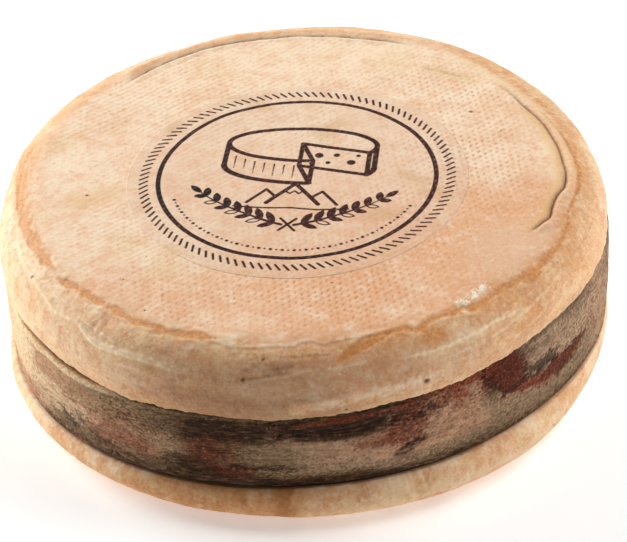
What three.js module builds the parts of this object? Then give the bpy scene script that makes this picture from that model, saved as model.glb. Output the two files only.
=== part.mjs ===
// A soft washed-rind cheese wheel bound in a strip of spruce bark, with a thin round paper label on its top.
// Millimetres, +Z up. The origin is on the flat base, under the middle of the wheel.
//
// The wheel is not quite round: every outline below is given at 24 angles, 15 degrees apart and counted
// anticlockwise from +X, and is joined up by a closed Catmull-Rom curve.
import * as THREE from "three";
import { mergeVertices } from "three/addons/utils/BufferGeometryUtils.js";

// ---- driving dimensions ----
const HEIGHT = 67.5; // base to top face
const CENTRE_X = -0.66; // the outlines' own centre, so that the wheel's box is centred on the origin
const CENTRE_Y = 0.98;
const SHOULDER_IN = 17.0; // how far the flat top stops short of the upper bulge
const BASE_IN = 15.0; // how far the flat base stops short of the lower bulge
const SHOULDER_POWER = 2.2; // superellipse exponents of the two rounded edges
const BASE_POWER = 2.1;
const UPPER_BULGE_AT = 0.3; // height of the upper bulge, as a share of the way from strap to top
const LOWER_BULGE_AT = 0.62; // height of the lower bulge, as a share of the strap's lower edge
const STRAP_THICK = 2.8; // bark strip
const STRAP_BOW = 0.6; // its face bows out a little
const STRAP_CHAMFER = 0.6;
const STRAP_GAP = 0.3; // clearance between the strip and the groove that it lies in
const LAP_START = 95; // degrees: the strip's inner end
const LAP_TURN = 16; // degrees that its outer end runs on past the inner end
const LAP_EASE = 15; // degrees over which each end moves in or out
const LAP_IN = 1.2; // the inner end is pressed this far into the rind
const LAP_OUT = 1.9; // the outer end stands this far out
const LABEL_R = 57.5;
const LABEL_THICK = 0.2;
const LABEL_X = -1.6;
const LABEL_Y = -4.5;
const LABEL_GAP = 0.05;
const SIDES = 72; // facets round the wheel

// Radius of the upper bulge, of the lower bulge and of the strip's outer edges, and heights of the strip's edges.
const UPPER_R = [102.91, 102.15, 102.75, 104.06, 104.78, 104.74, 104.43, 103.83, 103.45, 103.69, 103.53, 102.66, 102.55, 103.87, 104.91, 105.53, 105.89, 106.08, 106.17, 106.16, 106.05, 105.76, 105.2, 104.25];
const LOWER_R = [106.4, 106.64, 106.43, 106.04, 105.59, 105.17, 104.84, 104.59, 104.46, 104.43, 104.52, 104.73, 105.08, 105.53, 105.93, 106.55, 106.86, 106.55, 106.79, 107.18, 107.32, 106.74, 105.7, 105.64];
const STRAP_R = [102.61, 101.82, 101.56, 101.72, 102.01, 102.28, 102.45, 102.46, 102.34, 102.14, 101.93, 101.89, 102.24, 102.97, 102.96, 103.15, 103, 102.57, 102.41, 102.33, 102.25, 102.34, 103.07, 103.72];
const STRAP_LOW = [12.62, 12.82, 13.27, 13.75, 14.14, 14.33, 14.26, 13.9, 13.25, 12.32, 11.2, 10.06, 9.17, 8.95, 9.82, 11.29, 12.79, 14.05, 15, 15.22, 15.2, 14.87, 13.93, 12.93];
const STRAP_HIGH = [48.97, 47.81, 47.07, 46.71, 46.47, 46.26, 46.12, 46, 45.93, 45.92, 45.73, 45.22, 44.66, 44.26, 43.51, 42.37, 42.46, 43.56, 44.54, 46.01, 47.61, 49.09, 50.11, 50.02];

// ---- helpers ----
// A closed Catmull-Rom curve through the knots, at angle a in radians.
function knot(k, a) {
  const n = k.length;
  const u = ((((a / (2 * Math.PI)) * n) % n) + n) % n;
  const i = Math.floor(u);
  const t = u - i;
  const [p, q, r, s] = [k[(i + n - 1) % n], k[i % n], k[(i + 1) % n], k[(i + 2) % n]];
  return 0.5 * (2 * q + (r - p) * t + (2 * p - 5 * q + 4 * r - s) * t * t + (3 * q - p - 3 * r + s) * t * t * t);
}

const ease = (x) => {
  const t = Math.min(1, Math.max(0, x));
  return t * t * (3 - 2 * t);
};
const steps = (n, from = 0) => Array.from({ length: n + 1 - from }, (_, i) => (i + from) / n);
const at = (r, a, z) => [CENTRE_X + r * Math.cos(a), CENTRE_Y + r * Math.sin(a), z];
const rad = (d) => (d * Math.PI) / 180;

// How far the inner end of the strip is pressed in at this angle, in degrees.
function pressed(deg) {
  const d = (((deg - LAP_START) % 360) + 360) % 360;
  if (d <= LAP_TURN) return LAP_IN;
  if (d <= LAP_TURN + LAP_EASE) return LAP_IN * (1 - ease((d - LAP_TURN) / LAP_EASE));
  if (d >= 360 - LAP_EASE) return LAP_IN * ease((d - 360 + LAP_EASE) / LAP_EASE);
  return 0;
}

// A closed mesh from points and triangles given by index.
function closed(points, faces) {
  const g = new THREE.BufferGeometry();
  g.setAttribute("position", new THREE.Float32BufferAttribute(points.flat(), 3));
  g.setIndex(faces);
  const merged = mergeVertices(g, 1e-4);
  merged.computeVertexNormals();
  return merged;
}

// ---- the cheese: one solid, paste and rind together ----
// Its half section at angle a, from the base's flat edge up to the flat top's edge, as [radius, height].
function section(a) {
  const upper = knot(UPPER_R, a);
  const lower = knot(LOWER_R, a);
  const edge = knot(STRAP_R, a);
  const low = knot(STRAP_LOW, a);
  const high = knot(STRAP_HIGH, a);
  const upperZ = high + UPPER_BULGE_AT * (HEIGHT - high);
  const lowerZ = low * LOWER_BULGE_AT;
  const groove = edge - STRAP_THICK - STRAP_GAP - pressed((a * 180) / Math.PI);
  const out = [];
  for (const s of steps(6)) {
    const t = (s * Math.PI) / 2;
    out.push([
      lower - BASE_IN + BASE_IN * Math.sin(t) ** (2 / BASE_POWER),
      lowerZ * (1 - Math.max(0, Math.cos(t)) ** (2 / BASE_POWER)),
    ]);
  }
  for (const s of steps(2, 1)) {
    const t = (s * Math.PI) / 2;
    out.push([edge + 0.3 + (lower - edge - 0.3) * Math.cos(t), lowerZ + (low - lowerZ) * Math.sin(t)]);
  }
  out.push([groove, low]);
  out.push([groove, high]);
  for (const s of steps(3).slice(0, -1)) {
    const t = (s * Math.PI) / 2;
    out.push([edge + 0.2 + (upper - edge - 0.2) * Math.sin(t), upperZ - (upperZ - high) * Math.cos(t)]);
  }
  for (const s of steps(8)) {
    const t = (s * Math.PI) / 2;
    out.push([
      upper - SHOULDER_IN + SHOULDER_IN * Math.max(0, Math.cos(t)) ** (2 / SHOULDER_POWER),
      upperZ + (HEIGHT - upperZ) * Math.sin(t) ** (2 / SHOULDER_POWER),
    ]);
  }
  return out;
}

function cheese() {
  const points = [];
  const faces = [];
  const rows = section(0).length;
  for (let i = 0; i < SIDES; i++) {
    const a = (2 * Math.PI * i) / SIDES;
    for (const [r, z] of section(a)) points.push(at(r, a, z));
  }
  for (let i = 0; i < SIDES; i++) {
    const j = (i + 1) % SIDES;
    for (let k = 0; k < rows - 1; k++) {
      const [p, q, r, s] = [i * rows + k, j * rows + k, j * rows + k + 1, i * rows + k + 1];
      faces.push(p, q, r, p, r, s);
    }
  }
  const low = points.push(at(0, 0, 0)) - 1;
  const top = points.push(at(0, 0, HEIGHT)) - 1;
  for (let i = 0; i < SIDES; i++) {
    const j = (i + 1) % SIDES;
    faces.push(low, j * rows, i * rows);
    faces.push(top, i * rows + rows - 1, j * rows + rows - 1);
  }
  return closed(points, faces);
}

// ---- the bark strip: wound once round the wheel, its outer end lapped over its inner end at the back ----
function strap() {
  const stepDeg = 360 / SIDES;
  const first = Math.round(LAP_START / stepDeg) * stepDeg;
  const count = Math.round((360 + LAP_TURN) / stepDeg);
  const points = [];
  const faces = [];
  const loop = 8;
  for (let i = 0; i <= count; i++) {
    const deg = first + i * stepDeg;
    const turned = i * stepDeg;
    const a = rad(deg);
    const edge = knot(STRAP_R, a);
    const low = knot(STRAP_LOW, a) + STRAP_GAP;
    const high = knot(STRAP_HIGH, a) - STRAP_GAP;
    const mid = (low + high) / 2;
    const move =
      turned < 180
        ? -pressed(deg) * (turned <= LAP_TURN + LAP_EASE ? 1 : 0)
        : LAP_OUT * ease((turned - 360 + LAP_EASE) / LAP_EASE);
    // Each end is pared thin over its last step or two.
    const fromEnd = Math.min(i, count - i) * stepDeg;
    const thick = STRAP_THICK * (0.55 + 0.45 * ease(fromEnd / 8));
    const inner = edge - STRAP_THICK + move;
    const outer = inner + thick;
    for (const [r, z] of [
      [inner, low],
      [outer - STRAP_CHAMFER, low],
      [outer, low + STRAP_CHAMFER],
      [outer + STRAP_BOW, mid],
      [outer, high - STRAP_CHAMFER],
      [outer - STRAP_CHAMFER, high],
      [inner, high],
      [inner, mid],
    ])
      points.push(at(r, a, z));
  }
  for (let i = 0; i < count; i++)
    for (let k = 0; k < loop; k++) {
      const l = (k + 1) % loop;
      const [p, q, r, s] = [i * loop + k, (i + 1) * loop + k, (i + 1) * loop + l, i * loop + l];
      faces.push(p, q, r, p, r, s);
    }
  for (const [base, flip] of [
    [0, false],
    [count * loop, true],
  ])
    for (let k = 1; k < loop - 1; k++)
      faces.push(...(flip ? [base, base + k + 1, base + k] : [base, base + k, base + k + 1]));
  return closed(points, faces);
}

// ---- the label: a thin paper disc that lies on the top ----
function label() {
  const g = new THREE.LatheGeometry(
    [
      [0, 0],
      [LABEL_R, 0],
      [LABEL_R, LABEL_THICK],
      [0, LABEL_THICK],
    ].map(([x, y]) => new THREE.Vector2(x, y)),
    SIDES,
  );
  g.rotateX(Math.PI / 2);
  return g;
}

const rind = new THREE.MeshStandardMaterial({ color: 0xe6bf94, roughness: 0.6, metalness: 0 });
const bark = new THREE.MeshStandardMaterial({ color: 0x5f4634, roughness: 0.9, metalness: 0 });
const paper = new THREE.MeshStandardMaterial({ color: 0xe0bd9a, roughness: 0.55, metalness: 0 });

const wheel = new THREE.Group();
for (const [name, geometry, material] of [
  ["cheese_wheel", cheese(), rind],
  ["spruce_bark_strap", strap(), bark],
  ["paper_label", label(), paper],
]) {
  const mesh = new THREE.Mesh(geometry, material);
  mesh.name = name;
  wheel.add(mesh);
}
wheel.getObjectByName("paper_label").position.set(LABEL_X, LABEL_Y, HEIGHT + LABEL_GAP);

export default wheel;
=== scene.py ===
import math

import bpy
import numpy as np
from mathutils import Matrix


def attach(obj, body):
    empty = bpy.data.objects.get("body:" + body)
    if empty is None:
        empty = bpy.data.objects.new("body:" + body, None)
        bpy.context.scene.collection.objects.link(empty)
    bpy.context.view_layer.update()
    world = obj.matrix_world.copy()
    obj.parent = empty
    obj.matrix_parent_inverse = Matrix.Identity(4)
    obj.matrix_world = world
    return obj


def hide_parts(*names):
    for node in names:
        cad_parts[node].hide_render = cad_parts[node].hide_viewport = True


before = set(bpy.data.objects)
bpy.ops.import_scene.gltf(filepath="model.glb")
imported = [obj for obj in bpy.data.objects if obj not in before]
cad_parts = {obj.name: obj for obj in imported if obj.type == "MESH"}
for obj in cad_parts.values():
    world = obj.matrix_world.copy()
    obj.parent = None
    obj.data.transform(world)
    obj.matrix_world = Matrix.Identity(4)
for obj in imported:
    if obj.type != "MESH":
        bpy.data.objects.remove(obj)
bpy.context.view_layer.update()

# All lengths below are in millimetres until a mesh is made.
MM = 0.001
CX, CY = -0.66, 0.98
HEIGHT = 67.5
LABEL_AT = (-1.6, -4.5)
LABEL_R = 57.5
RING_R = 46.7
STRAP_THICK = 2.8
LAP_START, LAP_TURN, LAP_EASE, LAP_IN, LAP_OUT = 95.0, 16.0, 15.0, 1.2, 1.9

# The wheel's outline at 24 angles, anticlockwise from +X.
KNOTS = {
    "Ru": [102.91, 102.15, 102.75, 104.06, 104.78, 104.74, 104.43, 103.83, 103.45, 103.69, 103.53, 102.66, 102.55, 103.87, 104.91, 105.53, 105.89, 106.08, 106.17, 106.16, 106.05, 105.76, 105.2, 104.25],
    "Rl": [106.4, 106.64, 106.43, 106.04, 105.59, 105.17, 104.84, 104.59, 104.46, 104.43, 104.52, 104.73, 105.08, 105.53, 105.93, 106.55, 106.86, 106.55, 106.79, 107.18, 107.32, 106.74, 105.7, 105.64],
    "Rs": [102.61, 101.82, 101.56, 101.72, 102.01, 102.28, 102.45, 102.46, 102.34, 102.14, 101.93, 101.89, 102.24, 102.97, 102.96, 103.15, 103, 102.57, 102.41, 102.33, 102.25, 102.34, 103.07, 103.72],
    "zb": [12.62, 12.82, 13.27, 13.75, 14.14, 14.33, 14.26, 13.9, 13.25, 12.32, 11.2, 10.06, 9.17, 8.95, 9.82, 11.29, 12.79, 14.05, 15, 15.22, 15.2, 14.87, 13.93, 12.93],
    "zt": [48.97, 47.81, 47.07, 46.71, 46.47, 46.26, 46.12, 46, 45.93, 45.92, 45.73, 45.22, 44.66, 44.26, 43.51, 42.37, 42.46, 43.56, 44.54, 46.01, 47.61, 49.09, 50.11, 50.02],
}
KNOTS = {k: np.array(v) for k, v in KNOTS.items()}


def knot(name, a):
    k = KNOTS[name]
    n = len(k)
    u = (np.asarray(a, float) / (2 * np.pi) * n) % n
    i = np.floor(u).astype(int) % n
    t = u - np.floor(u)
    p, q, r, s = k[(i - 1) % n], k[i], k[(i + 1) % n], k[(i + 2) % n]
    return 0.5 * (2 * q + (r - p) * t + (2 * p - 5 * q + 4 * r - s) * t**2 + (3 * q - p - 3 * r + s) * t**3)


def ease(x):
    x = np.clip(x, 0, 1)
    return x * x * (3 - 2 * x)


def step(a, b, x):
    """0 at a, 1 at b, smooth between; a may be above b."""
    return ease((x - a) / (b - a))


def lerp(a, b, t):
    return a + (b - a) * t


def angle_gap(deg, centre):
    """Signed difference in degrees, -180..180."""
    return (deg - centre + 180.0) % 360.0 - 180.0


def arc(deg, a, b, soft=4.0):
    """1 between the angles a and b (a to b anticlockwise), soft at its ends."""
    mid = (a + b) / 2
    half = (b - a) / 2
    return step(half + soft, half - soft, np.abs(angle_gap(deg, mid)))


# ---- noise ----
_rng = np.random.RandomState(7)
_G = _rng.normal(size=(256, 3))
_G = (_G / np.linalg.norm(_G, axis=1, keepdims=True)).astype(np.float32)


def noise(p, seed=0):
    """Smooth gradient noise, about -1..1, at points p (n, 3)."""
    p = np.asarray(p, np.float32)
    f = np.floor(p)
    t = p - f
    i = f.astype(np.int64).astype(np.uint32)
    w = t * t * t * (t * (t * 6 - 15) + 10)
    hx = [i[:, 0] * np.uint32(374761393), (i[:, 0] + np.uint32(1)) * np.uint32(374761393)]
    hy = [i[:, 1] * np.uint32(668265263), (i[:, 1] + np.uint32(1)) * np.uint32(668265263)]
    hz = [i[:, 2] * np.uint32(2246822519), (i[:, 2] + np.uint32(1)) * np.uint32(2246822519)]
    s = np.uint32((seed * 1274126177 + 12345) & 0xFFFFFFFF)
    out = np.zeros(len(p), np.float32)
    for a in (0, 1):
        wa = w[:, 0] if a else 1 - w[:, 0]
        for b in (0, 1):
            wb = w[:, 1] if b else 1 - w[:, 1]
            for c in (0, 1):
                wc = w[:, 2] if c else 1 - w[:, 2]
                h = hx[a] ^ hy[b] ^ hz[c] ^ s
                h = (h ^ (h >> np.uint32(15))) * np.uint32(2246822519)
                h = (h ^ (h >> np.uint32(13))) * np.uint32(3266489917)
                g = _G[(h >> np.uint32(16)) & np.uint32(255)]
                d = g[:, 0] * (t[:, 0] - a) + g[:, 1] * (t[:, 1] - b) + g[:, 2] * (t[:, 2] - c)
                out += wa * wb * wc * d
    return out * 1.6


def fbm(p, size, octaves=3, seed=0, gain=0.5):
    """Layered noise with features of about size mm."""
    out = np.zeros(len(p), np.float32)
    amp, total = 1.0, 0.0
    q = np.asarray(p, np.float32) / size
    for k in range(octaves):
        out += amp * noise(q + 17.3 * k, seed + 31 * k)
        total += amp
        amp *= gain
        q = q * 2.03
    return out / total


# ---- lines drawn on the surface ----
def smooth_line(pts, n=6):
    """The points joined by a Catmull-Rom curve."""
    p = np.asarray(pts, float)
    p = np.vstack([2 * p[0] - p[1], p, 2 * p[-1] - p[-2]])
    out = []
    for i in range(1, len(p) - 2):
        a, b, c, d = p[i - 1], p[i], p[i + 1], p[i + 2]
        for t in np.arange(n) / n:
            out.append(0.5 * (2 * b + (c - a) * t + (2 * a - 5 * b + 4 * c - d) * t * t + (3 * b - a - 3 * c + d) * t**3))
    out.append(p[-2])
    return np.array(out)


def follow(P, pts, reach):
    """For each point of P: distance to the line, share of the way along it, and the side (+ is away from the wheel's axis)."""
    pts = smooth_line(pts)
    dist = np.full(len(P), 1e3, np.float32)
    along = np.zeros(len(P), np.float32)
    side = np.zeros(len(P), np.float32)
    length = np.r_[0, np.cumsum(np.linalg.norm(np.diff(pts, axis=0), axis=1))]
    m = np.flatnonzero(((P > pts.min(0) - reach) & (P < pts.max(0) + reach)).all(1))
    Q = P[m].astype(np.float32)
    dm = np.full(len(m), 1e3, np.float32)
    am = np.zeros(len(m), np.float32)
    sm = np.zeros(len(m), np.float32)
    for i in range(len(pts) - 1):
        a, b = pts[i].astype(np.float32), pts[i + 1].astype(np.float32)
        ab = b - a
        s = np.clip(((Q - a) @ ab) / max(float(ab @ ab), 1e-9), 0, 1)
        N = a + s[:, None] * ab
        e = np.linalg.norm(Q - N, axis=1)
        k = e < dm
        dm[k] = e[k]
        am[k] = ((length[i] + s * (length[i + 1] - length[i])) / length[-1])[k]
        side_k = np.hypot(Q[:, 0], Q[:, 1]) - np.hypot(N[:, 0], N[:, 1]) - 0.6 * (Q[:, 2] - N[:, 2])
        sm[k] = side_k[k]
    dist[m], along[m], side[m] = dm, am, sm
    return dist, along, side


def blob(P, at, r, soft=0.5, squeeze=(1, 1, 1)):
    d = np.linalg.norm((P - np.array(at)) * np.array(squeeze), axis=1)
    return step(r * (1 + soft), r * (1 - soft), d)


def over(channel, mask, strength=1.0):
    channel[:] = 1 - (1 - channel) * (1 - np.clip(mask * strength, 0, 1))


# ---- mesh making ----
def new_mesh(name, verts_mm, quads, tris=None, attributes=None):
    mesh = bpy.data.meshes.new(name)
    co = (np.asarray(verts_mm, np.float64) * MM).astype(np.float32)
    quads = np.asarray(quads, np.int32).reshape(-1, 4)
    tris = np.zeros((0, 3), np.int32) if tris is None else np.asarray(tris, np.int32).reshape(-1, 3)
    mesh.vertices.add(len(co))
    mesh.vertices.foreach_set("co", co.ravel())
    loops = np.concatenate([quads.ravel(), tris.ravel()])
    mesh.loops.add(len(loops))
    mesh.loops.foreach_set("vertex_index", loops)
    starts = np.concatenate([np.arange(len(quads)) * 4, len(quads) * 4 + np.arange(len(tris)) * 3]).astype(np.int32)
    mesh.polygons.add(len(starts))
    mesh.polygons.foreach_set("loop_start", starts)
    mesh.polygons.foreach_set("use_smooth", np.ones(len(starts), bool))
    mesh.update(calc_edges=True)
    mesh.validate()
    for key, value in (attributes or {}).items():
        value = np.asarray(value, np.float32)
        if value.ndim == 1:
            at = mesh.attributes.new(key, "FLOAT", "POINT")
            at.data.foreach_set("value", value)
        else:
            at = mesh.attributes.new(key, "FLOAT_VECTOR", "POINT")
            at.data.foreach_set("vector", value.ravel())
    ob = bpy.data.objects.new(name, mesh)
    bpy.context.scene.collection.objects.link(ob)
    return ob


def grid_quads(rows, cols, wrap_cols=False, wrap_rows=False):
    r = np.arange(rows if wrap_rows else rows - 1)
    c = np.arange(cols if wrap_cols else cols - 1)
    R, C = np.meshgrid(r, c, indexing="ij")
    R2, C2 = (R + 1) % rows, (C + 1) % cols
    return np.stack([R * cols + C, R * cols + C2, R2 * cols + C2, R2 * cols + C], -1).reshape(-1, 4)


def grid_normals(P, wrap_cols=True):
    """Unit normals of a (rows, cols, 3) grid whose columns go anticlockwise and whose rows go up the outside."""
    if wrap_cols:
        dc = np.roll(P, -1, 1) - np.roll(P, 1, 1)
    else:
        dc = np.gradient(P, axis=1)
    dr = np.gradient(P, axis=0)
    N = np.cross(dc, dr)
    return N / (np.linalg.norm(N, axis=-1, keepdims=True) + 1e-12)


# ---- the cloth's imprint: rows of small pits, close to a triangular lattice ----
def pits(P):
    """0..1, 1 in the middle of a pit, for points on the top; its rows run up to the right."""
    q = P[:, :2] + 1.1 * np.stack([noise(P / 34.0, 51), noise(P / 34.0, 52)], -1) + 0.22 * np.stack([noise(P / 3.1, 53), noise(P / 3.1, 54)], -1)
    a = np.cos(2 * np.pi * (q @ np.array([0.273, -0.348])))
    b = np.cos(2 * np.pi * (q @ np.array([0.463, 0.032])) + 0.6)
    # Towards the back left the rows run together into lines.
    lines = step(-25, 45, -P[:, 0] * 0.8 + P[:, 1] * 0.6 + 14 * noise(P / 22.0, 55))
    w = 0.52 * a + lerp(0.48, 0.14, lines) * b
    return step(0.12, 0.86, w / lerp(1.0, 0.72, lines)), lines


def warmth(P):
    """0 where the rind is cream, 1 where it is peach."""
    w = 0.46 - 0.0042 * (P[:, 1] + 10) + 0.0014 * P[:, 0]
    w += 0.30 * np.exp(-(((P[:, 0] - 45) / 28) ** 2 + ((P[:, 1] + 45) / 26) ** 2))
    w -= 0.20 * np.exp(-(((P[:, 0] + 80) / 22) ** 2 + ((P[:, 1] + 0) / 40) ** 2))
    w -= 0.42 * np.exp(-(((P[:, 0] + 52) / 20) ** 2 + ((P[:, 1] + 38) / 16) ** 2))
    w -= 0.35 * np.exp(-(((P[:, 0] - 0) / 50) ** 2 + ((P[:, 1] - 76) / 18) ** 2))
    w += 0.16 * np.exp(-(((P[:, 0] + 62) / 26) ** 2 + ((P[:, 1] + 2) / 26) ** 2))
    w += 0.30 * fbm(P, 24, 3, 66) + 0.22 * fbm(P, 8, 2, 67)
    return np.clip(w, 0, 1)


def imprint_strength(P, r):
    s = 0.58 + 0.55 * fbm(P, 26, 3, 61)
    s += 0.35 * np.exp(-(((P[:, 0] - 62) / 24) ** 2 + ((P[:, 1] - 2) / 38) ** 2))
    s += 0.25 * np.exp(-(((P[:, 0] - 5) / 40) ** 2 + ((P[:, 1] + 74) / 16) ** 2))
    s += 0.15 * np.exp(-(((P[:, 0] + 45) / 26) ** 2 + ((P[:, 1] - 45) / 26) ** 2))
    s -= 0.45 * np.exp(-(((P[:, 0] + 78) / 18) ** 2 + ((P[:, 1] + 5) / 30) ** 2))
    s -= 0.75 * np.exp(-(((P[:, 0] - 68) / 16) ** 2 + ((P[:, 1] + 52) / 16) ** 2))
    s -= 0.5 * np.exp(-(((P[:, 0] - 84) / 7) ** 2 + ((P[:, 1] + 5) / 30) ** 2))
    s *= 0.72 + 0.45 * fbm(P, 5.0, 2, 62)
    return np.clip(s, 0, 1.15) * step(94.5, 88.0, r)


# ---- the cheese ----
FEATURES = {
    "back_crease": [[-63.3, 59.4, 67.5], [-56.6, 66.5, 67.5], [-45.8, 75.4, 67.5], [-34.9, 81.8, 67.5], [-24.0, 85.2, 67.5], [-12.8, 87.2, 67.5], [0.1, 87.9, 67.5], [13.3, 86.5, 67.5], [24.3, 84.0, 67.5], [35.2, 80.6, 67.5], [45.5, 75.6, 67.5]],
    "back_crease_r": [[46.4, 60.1, 67.5], [51.5, 57.4, 67.5], [56.7, 54.9, 67.5], [61.8, 51.6, 67.5]],
    "flap": [[65.0, 54.2, 67.5], [70.3, 46.7, 67.5], [74.7, 40.6, 67.5], [78.5, 31.4, 67.5], [83.5, 20.4, 67.5], [86.2, 9.3, 67.5], [87.4, 2.1, 67.4], [87.6, -4.4, 67.4], [87.9, -10.7, 67.4], [87.3, -16.1, 67.4], [86.1, -20.3, 67.4], [83.7, -24.0, 67.5], [81.2, -30.4, 67.5], [79.6, -36.4, 67.5], [77.0, -39.4, 67.5], [73.4, -43.1, 67.5], [70.4, -45.1, 67.5]],
    "flap_ridge": [[52.5, 67.8, 67.5], [62.6, 61.6, 67.5], [71.2, 49.5, 67.5], [78.3, 37.8, 67.5], [84.4, 25.0, 67.3], [87.7, 12.6, 67.3], [89.4, 1.0, 67.2], [89.8, -10.1, 67.2], [89.2, -19.3, 67.1], [87.5, -25.1, 67.2]],
    "crack_left": [[-95.9, 28.3, 62.3], [-95.3, 8.8, 65.3], [-94.2, -8.0, 66.0], [-92.0, -21.0, 66.3], [-89.5, -29.6, 66.5], [-86.4, -37.2, 66.6], [-82.9, -45.1, 66.6], [-80.5, -48.4, 66.7]],
    "crack_fl": [[-79.5, -52.7, 66.3], [-75.5, -57.0, 66.6], [-71.5, -60.6, 66.8], [-66.6, -66.1, 66.8], [-62.1, -70.3, 66.8], [-58.6, -73.9, 66.7], [-53.8, -78.5, 66.4], [-49.0, -81.1, 66.6], [-44.1, -84.3, 66.4], [-39.8, -85.9, 66.6], [-33.5, -88.1, 66.7], [-28.8, -89.7, 66.7]],
    "pale_edge_front": [[-28.7, -90.7, 66.4], [-23.6, -93.0, 66.1], [-16.6, -94.0, 66.3], [-10.7, -94.4, 66.5], [-6.1, -94.8, 66.5], [-3.1, -93.6, 66.9], [0.6, -93.2, 67.0], [4.3, -94.4, 66.6], [10.5, -93.0, 66.9], [15.0, -92.4, 66.9], [19.8, -91.4, 66.9]],
    "leaf": [[7.3, -100.1, 63.4], [11.1, -98.1, 64.7], [14.7, -95.8, 65.7], [18.6, -93.9, 66.3], [23.0, -92.0, 66.6]],
    "crack_fr": [[22.4, -91.7, 66.7], [25.7, -90.8, 66.7], [28.9, -89.9, 66.7], [33.0, -90.2, 66.2], [36.9, -86.4, 66.8], [39.9, -85.0, 66.8], [43.8, -83.5, 66.7], [47.0, -81.6, 66.7], [51.3, -80.5, 66.4], [55.2, -77.3, 66.5], [59.6, -72.8, 66.8], [63.6, -69.8, 66.7], [66.9, -66.6, 66.7], [69.8, -67.0, 65.9], [72.0, -62.8, 66.3], [76.3, -56.5, 66.5], [79.9, -51.9, 66.4], [82.3, -46.9, 66.5], [84.9, -39.8, 66.7], [85.8, -33.9, 67.0]],
    "crack_r_up": [[85.8, -33.9, 67.0], [88.4, -27.1, 66.9], [90.3, -20.4, 66.8], [92.0, -9.2, 66.7], [91.7, -2.2, 66.8], [90.3, 6.5, 67.0], [87.9, 16.2, 67.1], [84.7, 25.5, 67.3]],
    "pale_ridge_left": [[-94.4, -24.6, 64.8], [-93.0, -33.5, 64.0], [-91.1, -40.7, 63.4], [-87.6, -48.7, 63.1], [-83.1, -57.8, 62.1], [-80.9, -62.3, 61.0], [-76.2, -67.7, 61.3], [-72.1, -71.7, 61.6], [-67.5, -78.0, 59.4], [-63.4, -81.5, 59.4], [-58.5, -84.8, 59.8], [-49.2, -90.3, 60.2], [-41.2, -94.6, 59.6], [-37.0, -96.3, 59.6]],
    "pale_ridge_right": [[27.4, -98.5, 61.6], [33.0, -96.7, 61.7], [37.6, -95.0, 61.7], [42.2, -93.0, 61.8], [46.9, -90.4, 62.2], [52.0, -87.5, 62.3], [57.0, -83.7, 62.9], [62.0, -80.6, 62.5], [66.9, -76.1, 62.8]],
    "white_flecks": [[47.7, -78.7, 67.2], [50.2, -76.5, 67.3], [52.6, -73.7, 67.4], [55.5, -70.8, 67.4]],
    "white_fleck2": [[45.9, -79.7, 67.2], [48.2, -82.9, 66.2]],
    "patch_orange": [[38.2, -91.6, 64.4]],
    "dent_a": [[-20.7, -99.6, 61.9], [-17.1, -100.2, 62.0], [-12.2, -100.6, 62.3], [-6.0, -100.6, 63.0]],
    "dent_b": [[-20.6, -101.5, 59.1], [-15.1, -101.8, 60.3], [-7.9, -101.8, 61.4]],
    "ridge_c": [[-20.2, -101.9, 58.4], [-14.2, -102.1, 59.9], [-7.9, -102.3, 60.7], [-0.7, -101.6, 62.1]],
    "ridge_d": [[5.2, -101.7, 61.9], [10.1, -101.0, 62.2], [16.2, -99.9, 62.6]],
    "ridge_l2": [[-72.8, -69.3, 62.9], [-68.0, -74.5, 62.6], [-63.0, -79.6, 61.9], [-57.2, -84.5, 61.3]],
    "mould": [[-5.3, -104.7, 49.6], [3.0, -105.1, 51.0], [12.7, -104.3, 52.5], [24.6, -102.1, 53.4], [35.6, -98.7, 54.4], [43.7, -95.3, 55.0]],
    "smear_a": [[-67.4, -75.8, 61.9], [-66.7, -74.9, 63.2], [-65.5, -74.2, 64.3]],
    "smear_b": [[-64.7, -77.4, 62.6], [-63.2, -76.2, 64.3], [-61.9, -75.4, 65.3]],
    "fold_a": [[39.5, -92.4, 63.5], [44.0, -90.6, 63.3], [50.6, -87.7, 62.8], [58.8, -82.4, 63.0], [65.7, -75.3, 64.1], [71.0, -70.7, 63.9]],
    "fold_b": [[35.8, -97.9, 58.0], [45.3, -93.3, 59.3], [54.9, -87.9, 59.6], [65.1, -79.5, 61.1], [74.0, -69.8, 62.4], [82.1, -56.9, 64.1]],
    "fold_c": [[58.2, -87.1, 54.4], [66.6, -80.6, 56.4], [73.7, -73.4, 58.4], [79.3, -64.9, 61.4]],
}
FEATURES = {k: np.array(v) for k, v in FEATURES.items()}


def pressed(deg):
    d = (deg - LAP_START) % 360
    out = np.where(d <= LAP_TURN, 1.0, 0.0)
    out = np.where((d > LAP_TURN) & (d <= LAP_TURN + LAP_EASE), 1 - ease((d - LAP_TURN) / LAP_EASE), out)
    out = np.where(d >= 360 - LAP_EASE, ease((d - 360 + LAP_EASE) / LAP_EASE), out)
    return LAP_IN * out


def even(n, f):
    """n+1 parameters in 0..1 spaced evenly along the curve f(t) -> (x, y)."""
    t = np.linspace(0, 1, 2000)
    x, y = f(t)
    s = np.r_[0, np.cumsum(np.hypot(np.diff(x), np.diff(y)))]
    return np.interp(np.linspace(0, s[-1], n + 1), s, t)


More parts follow.
